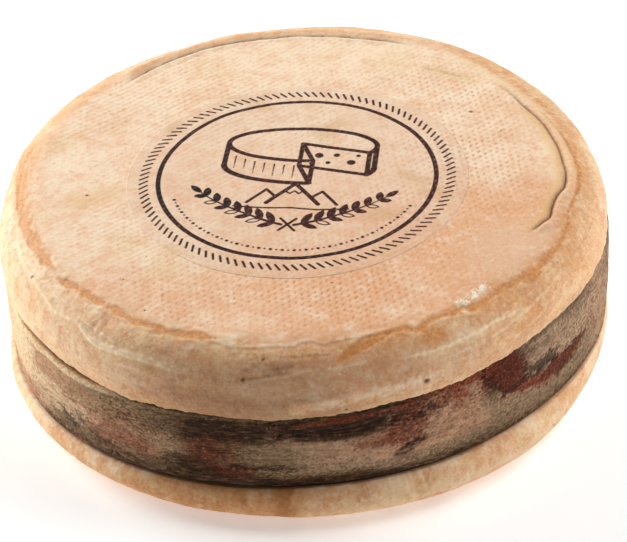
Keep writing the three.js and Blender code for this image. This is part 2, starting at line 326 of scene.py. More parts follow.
def make_cheese():
    NT = 1296
    th = 2 * np.pi * np.arange(NT) / NT
    deg = np.degrees(th)
    Ru, Rl, Rs, low, high = (knot(n, th) for n in ("Ru", "Rl", "Rs", "zb", "zt"))
    upper_z = high + 0.3 * (HEIGHT - high)
    lower_z = 0.62 * low
    circle = np.stack([np.cos(th), np.sin(th), 0 * th], -1) * 100
    ragged = fbm(circle, 7.0, 3, 5)
    ragged2 = fbm(circle, 1.6, 2, 6)
    # The rind stands a little over the strip's edges, less at the front left where a gap shows.
    gap_here = arc(deg, 206, 233, 5)
    lip = 0.35 + 0.3 * ragged + 0.2 * ragged2 - 0.75 * gap_here
    lip_drop = 0.2 + 0.4 * ragged2 + 0.3 * ragged
    groove = Rs - STRAP_THICK - 0.3 - pressed(deg)
    rows, kind, share = [], [], []

    def add(r, z, k, s):
        rows.append((r + 0 * th, z + 0 * th))
        kind.append(k)
        share.append(s)

    base_r = Rl - 15.0
    for s in np.r_[np.linspace(0.03, 0.8, 18), np.linspace(0.82, 1, 16)[:-1]]:
        add(base_r * s, 0 * th, 0, s)
    bow = lambda t: (15 * np.sin(t * np.pi / 2) ** (2 / 2.1), 8.5 * (1 - np.cos(t * np.pi / 2) ** (2 / 2.1)))
    for s in even(38, bow):
        t = s * np.pi / 2
        add(base_r + 15 * np.sin(t) ** (2 / 2.1), lower_z * (1 - max(0.0, np.cos(t)) ** (2 / 2.1)), 1, s)
    for s in np.linspace(0, 1, 14)[1:]:
        t = s * np.pi / 2
        add(Rs + 0.25 + 0.1 * ragged2 + (Rl - Rs - 0.25) * np.cos(t), lower_z + (low - 0.05 - lower_z) * np.sin(t), 2, s)
    for s in (0.35, 0.7, 1.0):
        add(lerp(Rs + 0.2, groove, s), low - 0.05 + 0.05 * s, 3, s)
    for s in np.linspace(0, 1, 12)[1:-1]:
        add(groove, lerp(low, high, s), 3, s)
    for s in (0.0, 0.3, 0.65, 0.9):
        add(lerp(groove, Rs + lip, s), high - lip_drop * s, 3, s)
    for s in np.linspace(0, 1, 26)[:-1]:
        t = s * np.pi / 2
        add(Rs + lip + (Ru - Rs - lip) * np.sin(t) ** lerp(0.85, 1.8, gap_here), upper_z - (upper_z - high + lip_drop) * np.cos(t), 4, s)
    curve = lambda t: (17 * np.cos(t * np.pi / 2) ** (2 / 2.2), 16 * np.sin(t * np.pi / 2) ** (2 / 2.2))
    for s in even(62, curve):
        t = s * np.pi / 2
        add(Ru - 17 + 17 * max(0.0, np.cos(t)) ** (2 / 2.2), upper_z + (HEIGHT - upper_z) * np.sin(t) ** (2 / 2.2), 5, s)
    inner = 50.0
    for s in np.linspace(0, 1, 82)[1:]:
        add(lerp(Ru - 17, inner + 0 * th, s), HEIGHT + 0 * th, 6, s)
    for s in np.linspace(0, 1, 26)[1:-1]:
        add(inner * (1 - s) + 0 * th, HEIGHT + 0 * th, 7, s)
    R = np.array([r for r, z in rows])
    Z = np.array([z for r, z in rows])
    kind = np.array(kind)
    share = np.array(share)
    nrows = len(kind)
    P3 = np.stack([CX + R * np.cos(th), CY + R * np.sin(th), Z], -1)
    N3 = grid_normals(P3)
    if N3[-40, :, 2].mean() < 0:
        N3 = -N3
    P = P3.reshape(-1, 3)
    D = np.broadcast_to(deg, (nrows, NT)).ravel()
    K = np.repeat(kind, NT)
    S = np.repeat(share, NT)
    r = np.hypot(P[:, 0], P[:, 1])
    n = len(P)
    z0 = np.zeros(n, np.float32)
    orange, cream, brown, yellow, dark, dust, pale, shade = (z0.copy() for _ in range(8))
    d = z0.copy()

    outside = np.where(K == 3, 0.0, 1.0)
    outside = np.where(K == 4, step(0.0, 0.25, S), outside)
    outside = np.where(K == 2, step(1.0, 0.6, S), outside)
    shoulder = ((K == 4) | (K == 5)).astype(float) * np.where(K == 5, step(1.0, 0.75, S), 1.0)
    top = (K >= 6).astype(float) + (K == 5) * step(0.6, 0.9, S)
    lower = ((K == 1) | (K == 2)).astype(float)

    # Broad swelling and slumping.
    d += outside * (shoulder * (0.75 * fbm(P, 30, 2, 1) + 0.38 * fbm(P, 9, 3, 2)) + lower * (0.35 * fbm(P, 24, 2, 3) + 0.22 * fbm(P, 7, 3, 4)))
    d += top * (0.42 * fbm(P, 46, 2, 8) + 0.16 * fbm(P, 13, 2, 9))
    d += outside * 0.06 * fbm(P, 1.9, 2, 10)
    # Level creases on the shoulder, where the rind has settled.
    flow = np.stack([D * 0.6 / 14.0, P[:, 2] / 2.3, r / 2.3], -1)
    sag = noise(flow, 11)
    d -= shoulder * 0.22 * step(0.25, 0.75, sag)
    # Fine upright folds next to the strip.
    upright = noise(np.stack([D * 1.83 / 1.1, P[:, 2] / 9.0, z0], -1), 12)
    near_strip = (K == 4) * step(1.0, 0.25, S)
    d += outside * near_strip * 0.16 * upright
    over(cream, near_strip * (0.62 + 0.6 * upright) * (0.3 + 0.7 * arc(D, 274, 358, 8)) * step(-0.6, 0.2, fbm(P, 8, 2, 13)), 0.95)

    # Painted shade: the front of the shoulder darkened, most near its lower edge, and the front of the lower bulge a
    # little.
    shade[:] = shoulder * arc(D, 241, 278, 13) * (0.26 * step(65, 58, P[:, 2]) + 0.66 * step(57.5, 51.5, P[:, 2]))
    shade += arc(D, 234, 268, 8) * lower * 0.2

    # Cloth imprint.
    pit, lines = pits(P)
    strength = imprint_strength(P, r) * top
    pit *= strength
    d -= 0.17 * pit
    d += 0.05 * strength

    rag = fbm(P, 1.5, 2, 21)
    rag2 = fbm(P, 4.5, 2, 22)
    rag3 = noise(P / 0.85, 41)

    # Clouds of tan and cream over the shoulder and the lower bulge.
    skin = np.maximum(shoulder, lower)
    mott = fbm(P, 2.5, 3, 48, 0.75)
    broad = fbm(P, 13, 2, 43)
    broad2 = fbm(P * np.array([1, 1, 1.5]), 10, 2, 44)
    over(yellow, skin * step(0.0, 0.4, fbm(P, 8, 3, 42) + 0.4 * mott), 0.45)
    over(orange, skin * step(-0.02, 0.5, 0.9 * broad - 0.7 * mott), 0.5)
    over(cream, skin * step(0.02, 0.5, 0.8 * mott + 0.9 * broad2), 0.6)
    over(cream, skin * arc(D, 196, 234, 8) * step(-0.3, 0.2, mott), 0.3)
    over(brown, skin * step(0.1, 0.5, -0.8 * mott - 0.8 * broad2) * arc(D, 232, 300, 12), 0.34)
    # Rosier skin, free of yellow, across the front of the shoulder and in clouds elsewhere.
    zone = arc(D, 254, 306, 12) * step(50, 54, P[:, 2]) * step(66, 62, P[:, 2])
    rosy = skin * np.clip(0.95 * zone + 0.55 * step(0.0, 0.4, fbm(P, 15, 2, 49)), 0, 1) * step(-0.7, 0.1, mott + 0.4 * broad)
    yellow *= 1 - 0.8 * rosy
    orange *= 1 - 0.6 * rosy
    cream *= 1 - 0.45 * rosy
    left = shoulder * arc(D, 208, 234, 8)
    yellow *= 1 - 0.5 * left
    brown *= 1 - 0.5 * left
    over(pale, left * step(-0.3, 0.5, 0.8 * mott + 0.9 * broad2), 0.42)
    over(pale, top * step(46.0, 86.0, P[:, 1]) * step(-0.6, 0.4, rag2), 0.34)
    over(pale, arc(D, 182, 216, 8) * (K == 5) * step(0.2, 0.5, S) * step(0.95, 0.8, S) * step(-0.35, 0.35, mott + rag2), 0.5)
    d += skin * outside * 0.11 * fbm(P, 1.25, 2, 45)
    # Fine wrinkles that run along the right-hand shoulder.
    wr = noise(np.stack([D * 1.8 / 13.0 + 0.6 * rag2, P[:, 2] / 1.9, r / 1.9], -1), 47)
    wr = shoulder * (0.3 + 0.7 * arc(D, 286, 350, 8)) * step(0.24, 0.03, np.abs(wr) + 0.12 * rag) * step(-0.3, 0.3, rag2)
    d += 0.2 * wr
    over(pale, wr, 0.2)
    for key, h in (("fold_a", 0.22), ("fold_b", 0.26), ("fold_c", 0.2)):
        e, t, side = follow(P, FEATURES[key], 7)
        fade = np.minimum(1, np.minimum(t, 1 - t) * 6)
        broken = step(-0.5, 0.1, fbm(P, 3.0, 2, 56))
        over(pale, step(0.6, 0.05, e + 0.8 * rag + 0.35 * rag3) * fade * broken, 0.5)
        over(orange, np.exp(-((side + 1.3) ** 2) / 1.2) * (e < 6) * fade * (0.6 + 0.6 * rag), 0.4)
        over(brown, np.exp(-((side - 1.1) ** 2) / 0.7) * (e < 6) * fade * step(-0.3, 0.3, rag2), 0.28)
        d += h * np.exp(-(e**2) / 0.5) * fade
        d -= h * 0.8 * np.exp(-((side - 1.4) ** 2) / 0.9) * (e < 6) * fade
    for key in ("smear_a", "smear_b"):
        e, t, side = follow(P, FEATURES[key], 5)
        over(brown, step(0.8, 0.2, e + 0.6 * rag), 0.16)
        over(orange, step(1.2, 0.3, e + 0.6 * rag), 0.24)
        d -= 0.18 * np.exp(-(e**2) / 0.9)

    # Orange-brown cracks round the top's edge.
    for key, width, strong in (("crack_left", 2.5, 0.9), ("crack_fl", 1.4, 1.0), ("crack_fr", 1.25, 1.0), ("crack_r_up", 0.85, 1.0)):
        e, t, side = follow(P, FEATURES[key], 9)
        share_w = np.interp(t, [0, 0.15, 0.3, 0.42, 0.5, 0.6, 0.68, 0.78, 1], [0.7, 0.8, 1.2, 1.0, 1.2, 1.9, 1.4, 0.8, 0.5]) if key == "crack_fr" else 1.0
        w = width * share_w * (0.8 + 0.9 * rag2) * np.minimum(1, np.minimum(t, 1 - t) * 12 + 0.25)
        crisp = 0.6 if key == "crack_r_up" else 1.0
        line = step(w + 0.5 * crisp, w - 0.5 * crisp, e + crisp * (0.85 * rag + 0.3 * rag3))
        halo = step(5.0, 0.6, e + 2.8 * rag2 + 1.2 * rag)
        for channel in (cream, yellow, pale):
            channel *= 1 - 0.94 * line
        over(orange, line, strong)
        over(orange, halo * (1 - line), 0.42)
        over(brown, line * step(0.1, 0.5, rag + 0.4 * rag3), 0.35)
        over(brown, line * (0.6 + 0.6 * rag), 0.6 if key == "crack_r_up" else 0.45 * step(0.72, 0.85, t) if key == "crack_fr" else 0.0)
        over(brown, np.exp(-((e - w + 0.85 * rag) ** 2) / 0.12) * (e < 7), 0.3 * strong)
        d -= 0.2 * line * strong
        d += 0.15 * np.exp(-((side + w + 0.9) ** 2) / 1.1) * (e < 7)
        d += 0.12 * np.exp(-((side - w - 0.8) ** 2) / 0.8) * (e < 7)
        over(cream, np.exp(-((side - w - 0.8) ** 2) / 0.5) * (e < 7) * step(-0.1, 0.5, rag2 + 0.5 * rag), 0.45)
    # Drips of the same colour that run from the crack down the shoulder.
    for a, length in ((222, 2.6), (229.5, 6.0), (232, 3.0), (243, 3.2), (299, 2.0), (315.5, 4.2), (246, 2.0), (206, 2.0)):
        rr = np.radians(a)
        ru = knot("Ru", rr)
        x0 = np.array([CX + (ru - 11) * np.cos(rr), CY + (ru - 11) * np.sin(rr), 66.6])
        x1 = x0 + length * np.array([np.cos(rr) * 0.9, np.sin(rr) * 0.9, -0.45])
        e, t, side = follow(P, [x0, (x0 + x1) / 2, x1], 4)
        over(orange, step(0.95, 0.3, e + 0.5 * rag), 0.55)

    # The front edge, where the skin ends in a fine pale line.
    e, t, side = follow(P, FEATURES["pale_edge_front"], 6)
    over(pale, step(0.55, 0.1, e + 0.6 * rag + 0.25 * rag3), 0.7)
    d += 0.14 * np.exp(-(e**2) / 0.5)
    d -= 0.12 * np.exp(-((side - 1.1) ** 2) / 0.6) * (e < 5)
    # Painted shadow: brown just below the pale line.
    over(brown, np.exp(-((side - 1.0) ** 2) / 0.5) * (e < 4), 0.25)
    over(orange, np.exp(-((side + 1.3) ** 2) / 2.0) * (e < 5) * step(-0.2, 0.4, rag2), 0.3)

    # A leaf-shaped tear and a stain beside the front crack.
    e, t, side = follow(P, FEATURES["leaf"], 6)
    w = 2.6 * np.sqrt(np.clip(t * 1.25, 0, 1)) * np.sqrt(np.clip((1.12 - t) * 1.5, 0, 1))
    leaf = step(w + 0.4, w - 0.35, e + 0.4 * rag + 0.2 * rag3)
    cream *= 1 - 0.9 * leaf
    yellow *= 1 - 0.9 * leaf
    pale *= 1 - 0.9 * leaf
    over(orange, leaf, 1.0)
    over(brown, leaf * (0.7 + 0.6 * rag), 0.52)
    d -= 0.22 * leaf
    d += 0.12 * np.exp(-((e - w - 0.5) ** 2) / 0.5) * (e < 6)
    stain = blob(P + rag[:, None] * 0.8, FEATURES["patch_orange"][0], 3.1, 0.5, (0.7, 1, 1.2))
    cream *= 1 - 0.9 * stain
    pale *= 1 - 0.9 * stain
    over(orange, stain, 0.95)
    over(orange, blob(P + rag2[:, None] * 1.5, (30.0, -93.5, 64.2), 4.5, 0.8, (0.55, 1, 1.3)), 0.5)
    over(orange, blob(P + rag2[:, None] * 1.5, (62.0, -74.5, 65.6), 5.0, 0.8, (0.7, 1, 1.3)), 0.4)

    # Loose pale flakes.
    for key, w0 in (("white_flecks", 2.1), ("white_fleck2", 1.2)):
        e, t, side = follow(P, FEATURES[key], 5)
        flake = step(w0 + 0.3, w0 - 1.2, e + 1.5 * rag) * step(-0.2, 0.25, 0.6 * rag3 + 0.8 * rag2 + 0.4 * noise(P / 0.6, 50))
        over(pale, flake, 1.0)
        dust[:] = np.maximum(dust, flake)
        d += 0.16 * flake
        orange[:] = orange * (1 - flake)

    # Pale ridges along the shoulder.
    for key, h, a, b in (("pale_ridge_left", 0.26, 0.3, 1.45), ("pale_ridge_right", 0.24, 0.36, 0.3)):
        e, t, side = follow(P, FEATURES[key], 8)
        fade = np.minimum(1, np.minimum(t, 1 - t) * 9 + 0.1)
        wide = np.interp(t, [0, 0.5, 0.7, 1], [a, a + 0.1, b, b])
        broken = step(-0.45, 0.15, fbm(P, 2.2, 2, 25) + np.interp(t, [0, 0.5, 0.75, 1], [0.3, 0.25, -0.12, -0.25]))
        over(cream, step(wide + 0.45, wide - 0.35, e + 0.75 * rag + 0.35 * rag3) * fade * broken, 0.95)
        over(pale, step(0.75 * wide + 0.25, 0.75 * wide - 0.25, e + 0.5 * rag + 0.25 * rag3) * fade * np.minimum(1, broken + 0.25), 0.85 if key == "pale_ridge_left" else 0.7)
        over(cream, step(3.6, 0.4, e + 1.8 * rag2 + 0.6 * rag) * fade, 0.34)
        d += h * np.exp(-((e + 0.3 * rag) ** 2) / 0.5) * fade * (0.5 + 0.7 * broken)
        d -= 0.16 * np.exp(-((side - 1.6) ** 2) / 1.1) * (e < 6) * fade
        d += 0.1 * np.exp(-(e**2) / 6.0) * rag3 * fade

    e, t, side = follow(P, FEATURES["ridge_l2"], 6)
    fade = np.minimum(1, np.minimum(t, 1 - t) * 6)
    over(pale, step(0.55, 0.05, e + 0.5 * rag + 0.25 * rag3) * fade, 0.7)
    over(brown, np.exp(-((side - 1.2) ** 2) / 1.0) * (e < 5) * fade, 0.35)
    d += 0.2 * np.exp(-(e**2) / 0.5) * fade
    # Bruised dents in the front.
    for key in ("dent_a", "dent_b"):
        e, t, side = follow(P, FEATURES[key], 6)
        fade = np.minimum(1, np.minimum(t, 1 - t) * 5 + 0.2)
        d -= 0.36 * np.exp(-(e**2) / 2.2) * fade
        over(brown, step(2.4, 0.2, e + 1.5 * rag + 0.5 * rag3) * fade, 0.6)
        over(dark, step(0.8, 0.1, e + 0.8 * rag + 0.4 * rag3) * step(-0.1, 0.3, rag2), 0.26)
    for key in ("ridge_c", "ridge_d"):
        e, t, side = follow(P, FEATURES[key], 6)
        over(cream, step(0.8, 0.1, e + 0.8 * rag + 0.3 * rag3), 0.55)
        d += 0.16 * np.exp(-(e**2) / 0.8)

    # Dusty bloom under the front-left crack, and painted shade, brown, in its hollow.
    bloom = arc(D, 228, 259, 6) * step(0.98, 0.86, S) * step(0.52, 0.66, S) * (K == 5)
    over(dust, bloom * step(-0.35, 0.45, fbm(P, 5.5, 3, 26) + 0.35 * upright), 0.9)
    over(brown, arc(D, 228, 300, 16) * (K == 5) * step(0.72, 0.5, S) * step(0.05, 0.3, S), 0.22)
    over(brown, arc(D, 256, 282, 6) * (K == 5) * step(0.80, 0.62, S) * step(0.4, 0.6, S) * step(-0.2, 0.5, fbm(P, 8, 2, 27)), 0.45)

    # Back rim: a thin crease, darkened with painted shade, with a tan roll outside it.
    e, t, side = follow(P, FEATURES["back_crease"], 14)
    fade = step(0.0, 0.12, t) * step(1.0, 0.86, t)
    broken = step(-0.6, 0.0, fbm(P, 7, 2, 28))
    d -= 1.0 * np.exp(-(e**2) / 0.32) * fade
    over(dark, step(0.75, 0.2, e + 0.2 * rag) * fade * (0.5 + 0.5 * broken), 0.8)
    over(orange, np.exp(-((side - 2.6) ** 2) / 3.5) * (e < 9) * fade, 0.75)
    over(cream, np.exp(-((side + 1.0) ** 2) / 0.8) * (e < 10) * fade, 0.45)
    d += 0.35 * np.exp(-((side + 1.4) ** 2) / 2.0) * (e < 9) * fade
    d += 0.9 * np.exp(-((side - 3.4) ** 2) / 7.0) * (e < 13) * fade
    back = arc(D, 28, 172, 16)
    rim = back * np.where(K == 5, step(1.02, 0.86, S + 0.05 * rag2), np.where(K == 4, 1.0, 0.0))
    over(orange, rim * (0.62 + 0.45 * fbm(P, 6, 3, 29)), 0.85)
    rim_left = arc(D, 166, 190, 8) * (K == 5) * step(0.95, 0.7, S)
    over(orange, rim_left * (0.5 + 0.5 * fbm(P, 7, 3, 46)), 0.7)
    e, t, side = follow(P, FEATURES["back_crease_r"], 10)
    over(yellow, step(5.0, 1.0, e + 2.2 * rag2), 0.6)
    # Painted shade: dark along this crease too.
    over(dark, step(0.5, 0.1, e + 0.3 * rag) * step(-0.1, 0.3, rag2), 0.35)
    d -= 0.4 * np.exp(-(e**2) / 0.35)

    # Right-hand fold: the top's skin meets the edge's skin in a deep crease.
    e, t, side = follow(P, FEATURES["flap"], 14)
    near = (e < 13).astype(float)
    fade = step(0.0, 0.1, t) * step(1.0, 0.93, t)
    tuck = step(0.62, 0.72, t)
    w = 0.3 + 0.12 * tuck
    d -= lerp(0.6, 0.75, tuck) * np.exp(-((side / w) ** 2)) * fade * near * step(0.0, 0.3, t)
    d += lerp(0.4, 0.1, tuck) * np.exp(-((side + 2.0) ** 2) / 2.6) * fade * near
    d += lerp(0.3, 0.85, tuck) * np.exp(-((side - 1.9) ** 2) / 2.4) * fade * near
    # Painted shade in the crease: dark and brown along its line.
    over(dark, step(w + 0.3, w - 0.25, e + 0.35 * rag) * fade, lerp(0.45, 0.62, tuck) * step(0.02, 0.3, t))
    over(brown, step(w + 1.0, w, e + 0.4 * rag) * fade, 0.62 * step(0.02, 0.3, t))
    over(yellow, np.exp(-((side + 1.2) ** 2) / 7.0) * (side < 0.4) * near * step(0.12, 0.4, t) * fade * step(-0.8, 0.1, rag2 + 0.5 * rag), 0.95)
    # Painted shade, brown, where the fold tucks under.
    over(brown, np.exp(-((side + 0.9) ** 2) / 0.8) * near * fade * step(0.6, 0.75, t), 0.35)
    e, t, side = follow(P, FEATURES["flap_ridge"], 12)
    near = (e < 11).astype(float) * step(0.0, 0.1, t) * step(1.0, 0.85, t)
    over(cream, np.exp(-((side - 0.3) ** 2) / 2.2) * near * (0.75 + 0.4 * rag), 0.6)
    over(yellow, np.exp(-((side - 0.3) ** 2) / 3.4) * near * (0.75 + 0.5 * rag), 0.95)
    d += 0.3 * np.exp(-((side - 0.2) ** 2) / 1.8) * near
    ribs = noise(np.stack([D * 1.6 / 1.5, r / 6.0, P[:, 2] / 6.0], -1), 30)
    band = np.exp(-((side - 4.6) ** 2) / 6.5) * near
    over(orange, band * (0.7 + 0.5 * step(-0.3, 0.3, ribs)) * (0.9 + 0.5 * rag), 1.0)
    over(pale, band * step(-0.1, -0.4, ribs) * (0.6 + 0.5 * rag), 0.25)
    d += band * 0.42 * ribs
    d -= 0.35 * np.exp(-((side - 6.8) ** 2) / 3.0) * near

    # Yellowed and tan clouds on the top.
    for x, y, rad, a in ((-44.7, -53.9, 5.5, 0.55), (-42, -42, 7, 0.45), (-74, -12, 6.5, 0.55), (-64, -8, 5, 0.5), (-66, 34, 9, 0.35), (-82, 24, 6, 0.4), (-30, 66, 8, 0.3), (-58, -38, 8, 0.35), (62, -28, 10, 0.2), (36, 66, 8, 0.4), (-88, -22, 5, 0.45), (12, -80, 9, 0.18)):
        q = P + 3.2 * np.stack([rag2, fbm(P, 6, 2, 33), z0], -1)
        over(yellow if rad < 8.5 else orange, blob(q, (x, y, HEIGHT), rad, 0.75) * top, a * (0.55 if rad >= 8.5 else 0.8))
    over(dust, blob(P, (66, -54, 66), 15, 0.6) * top, 0.35)

    # Specks.
    for at, rad in (((-88.0, -47.9, 63.1), 0.75), ((-14.6, -98.1, 64.3), 0.6), ((34.8, -99.1, 53.3), 1.2), ((65.8, -81.9, 10.2), 0.4), ((-21.0, -101.2, 59.5), 0.7), ((9.5, -104.1, 48.1), 0.8), ((-71.9, -9.0, 67.5), 0.8), ((-51.7, 11.8, 67.5), 0.9), ((-53.5, 9.8, 67.5), 0.6), ((56, -86, 8.8), 1.15), ((96.5, -33.0, 60.0), 0.6), ((60, 30, 67.5), 0.8)):
        rad = 0.75 * rad
        over(dark, step(rad + 0.4, rad - 0.3, np.linalg.norm(P - np.array(at), axis=1) + 0.5 * rag), 0.9)
        d -= 0.15 * np.exp(-(np.linalg.norm(P - np.array(at), axis=1) ** 2) / (rad * rad))

    # Small orange-brown crumbs and fine cracks everywhere outside.
    crumbs = noise(P / 1.25, 34) + 0.6 * fbm(P, 16, 2, 35)
    over(orange, step(0.78, 1.0, crumbs) * outside * (1 - 0.6 * top), 0.45)
    over(brown, step(0.62, 0.95, noise(P / 0.85, 36) + 0.45 * fbm(P, 12, 2, 37)) * outside, 0.32)
    # Lower bulge: tan below, cream streaks near the strip, one rusty run.
    tan = lower * step(-0.3, 0.45, fbm(P * np.array([1, 1, 1.4]), 10, 3, 38))
    over(orange, tan * 0.5 * step(14.0, 6.0, P[:, 2]), 0.6)
    over(orange, lower * step(6.5, 1.0, P[:, 2]), 0.4)
    over(orange, lower * arc(D, 233, 268, 7), 0.78)
    # Pale clouds on the lower bulge, left off its front: partly the rind's own pale, partly painted light on its sides.
    over(pale, lower * (1 - arc(D, 212, 270, 6)) * step(-0.5, 0.3, broad2 + 0.5 * mott), 0.46)
    over(cream, lower * step(0.0, 0.5, noise(np.stack([D * 1.83 / 2.4, P[:, 2] / 8.0, z0], -1), 39)) * (0.25 + 0.75 * (arc(D, 279, 292, 3) + arc(D, 196, 212, 4) + arc(D, 224, 236, 4)).clip(0, 1)), 0.5)
    over(orange, lower * step(0.04, 0.4, fbm(P * np.array([1, 1, 1.3]), 5.5, 3, 60)), 0.5)
    over(yellow, lower * step(0.1, 0.45, fbm(P, 9.0, 3, 64)), 0.5)
    over(orange, lower * arc(D, 211, 230, 6) * step(-0.3, 0.3, fbm(P, 7, 2, 65)), 0.75)
    upr = noise(np.stack([D * 1.83 / 1.7, P[:, 2] / 7.0, z0], -1), 68)
    over(pale, lower * step(0.2, 0.5, fbm(P, 4.2, 3, 63) + 0.25 * rag), 0.5)
    over(pale, lower * step(0.05, 0.5, upr + 0.5 * rag) * step(5, 9, P[:, 2]) * (0.25 + 0.95 * (arc(D, 280, 291, 3) + arc(D, 222, 236, 5)).clip(0, 1)), 0.6)
    run = arc(D + 1.2 * rag2, 262.8, 265.8, 0.9) * lower * step(2.0, 6.0, P[:, 2])
    run = np.maximum(run, blob(P + rag2[:, None], (-24.0, -102.3, 10.5), 1.5, 0.6))
    cream *= 1 - 0.8 * run
    pale *= 1 - 0.9 * run
    over(orange, run * (0.85 + 0.4 * rag), 1.0)
    over(brown, run * step(-0.6, 0.3, rag2 + 0.5 * rag), 0.75)
    # The run's own darker colour goes through the shade channel as well.
    shade += 0.35 * run
    # Pale mould along the rind's edge over the strip, at the front right.
    e, t, side = follow(P, FEATURES["mould"], 7)
    over(pale, step(2.4, 0.3, e + 1.3 * rag + 0.6 * rag3) * np.minimum(1, np.minimum(t, 1 - t) * 5) * step(-0.6, 0.1, rag2 + 0.5 * rag + 0.5 * upright), 0.85)
    shade *= 1 - 0.6 * step(3.6, 0.8, e + 0.8 * rag)
    d += 0.16 * np.exp(-(e**2) / 3.0) * upright
    # The lower bulge sits in a little at the right.
    d -= lower * outside * 0.9 * arc(D, 328, 374, 16) * step(1.0, 0.6, np.where(K == 2, S, 0.0)) * np.where(K == 1, step(0.1, 0.7, S), 1.0)
    # Painted shade where the rind meets the strip: brown in the groove and along the edges next to it, dark at the
    # front, and in the recess at the front left.
    seam = np.where(K == 2, step(0.9, 1.0, S), 0.0) + np.where(K == 4, step(0.07, 0.0, S), 0.0) + (K == 3)
    over(brown, np.clip(seam, 0, 1), 0.6)
    over(dark, np.clip(seam, 0, 1) * arc(D, 234, 300, 6), 0.55)
    recess = (K == 4) * step(0.42, 0.12, S + 0.12 * rag) * arc(D, 200, 234, 4)
    over(brown, recess, 0.7)
    over(dark, recess * step(0.2, 0.02, S) * step(-0.3, 0.3, rag + rag2), 0.45)
    over(dark, (K == 4) * step(0.16, 0.02, S + 0.09 * rag + 0.05 * rag3) * arc(D, 228, 306, 5) * step(-0.35, 0.1, rag + 0.5 * rag2), 0.75)

    # The underside: flat, tan, with a coarse rack's faint bars.
    under = (K == 0).astype(float)
    bars = np.cos(2 * np.pi * (P[:, 0] * 0.94 + P[:, 1] * 0.34) / 17.0)
    d -= under * (0.35 * step(0.55, 0.95, bars) + 0.12 * (1 + fbm(P, 9, 2, 40))) * step(1.0, 0.95, S)
    over(orange, under * step(0.5, 0.95, bars), 0.3)

    pos = P3 + N3 * d.reshape(nrows, NT)[..., None]
    pos[..., 2] = np.maximum(pos[..., 2], 0.0)
    # The label's seat: the top under the label lies a hair lower.
    rl = np.hypot(pos[..., 0] - LABEL_AT[0], pos[..., 1] - LABEL_AT[1])
    seat = (kind >= 6)[:, None] * step(LABEL_R - 0.1, LABEL_R - 1.6, rl)
    pos[..., 2] -= 0.25 * seat
    verts = pos.reshape(-1, 3)
    last = len(verts)
    verts = np.vstack([verts, [[CX, CY, pos[0, :, 2].mean()]], [[CX, CY, pos[-1, :, 2].mean()]]])
    quads = grid_quads(nrows, NT, wrap_cols=True)
    i = np.arange(NT)
    j = (i + 1) % NT
    tris = np.concatenate([np.stack([np.full(NT, last), j, i], -1), np.stack([np.full(NT, last + 1), (nrows - 1) * NT + i, (nrows - 1) * NT + j], -1)])
    pad = lambda a: np.r_[a, a[0], a[-1]]
    attrs = {"orange": orange, "cream": cream, "brown": brown, "yellow": yellow, "dark": dark, "dust": dust, "pale": pale, "shade": shade, "pit": pit, "lines": lines * top, "peach": warmth(P), "wild": outside * (1 - top) * (1 - 0.55 * rosy)}
    return new_mesh("rind", verts, quads, tris, {k: pad(np.clip(v, 0, 1)) for k, v in attrs.items()})


# ---- the label ----
class Print:
    """Ink as a signed distance in mm, below 0 inside the ink."""

    def __init__(self, u, v):
        self.u, self.v = u, v
        self.d = np.full(len(u), 9.0, np.float32)

    def put(self, d, m=slice(None)):
        self.d[m] = np.minimum(self.d[m], d)

    def near(self, x0, x1, y0, y1, pad=2.5):
        return np.flatnonzero((self.u > min(x0, x1) - pad) & (self.u < max(x0, x1) + pad) & (self.v > min(y0, y1) - pad) & (self.v < max(y0, y1) + pad))

    def dot(self, x, y, r):
        m = self.near(x - r, x + r, y - r, y + r)
        self.put(np.hypot(self.u[m] - x, self.v[m] - y) - r, m)

    def stroke(self, pts, w0, w1=None):
        """A line of half-width w0 at its start and w1 at its end."""
        w1 = w0 if w1 is None else w1
        n = len(pts) - 1
        for k in range(n):
            (ax, ay), (bx, by) = pts[k], pts[k + 1]
            m = self.near(ax, bx, ay, by)
            px, py = self.u[m] - ax, self.v[m] - ay
            dx, dy = bx - ax, by - ay
            s = np.clip((px * dx + py * dy) / max(dx * dx + dy * dy, 1e-9), 0, 1)
            w = w0 + (w1 - w0) * (k + s) / n
            self.put(np.hypot(px - s * dx, py - s * dy) - w, m)

    def leaf(self, x, y, a, length, width, filled=True, line=0.3):
        """A pointed leaf from (x, y) in direction a."""
        m = self.near(x - length, x + length, y - length, y + length)
        c, s = math.cos(a), math.sin(a)
        px = (self.u[m] - x) * c + (self.v[m] - y) * s - length / 2
        py = -(self.u[m] - x) * s + (self.v[m] - y) * c
        h, b = length / 2, width / 2
        R = (h * h + b * b) / (2 * b)
        d = np.hypot(px, np.abs(py) + R - b) - R
        d = np.maximum(d, np.abs(px) - h)
        if not filled:
            d = np.abs(d + line) - line
        self.put(d, m)


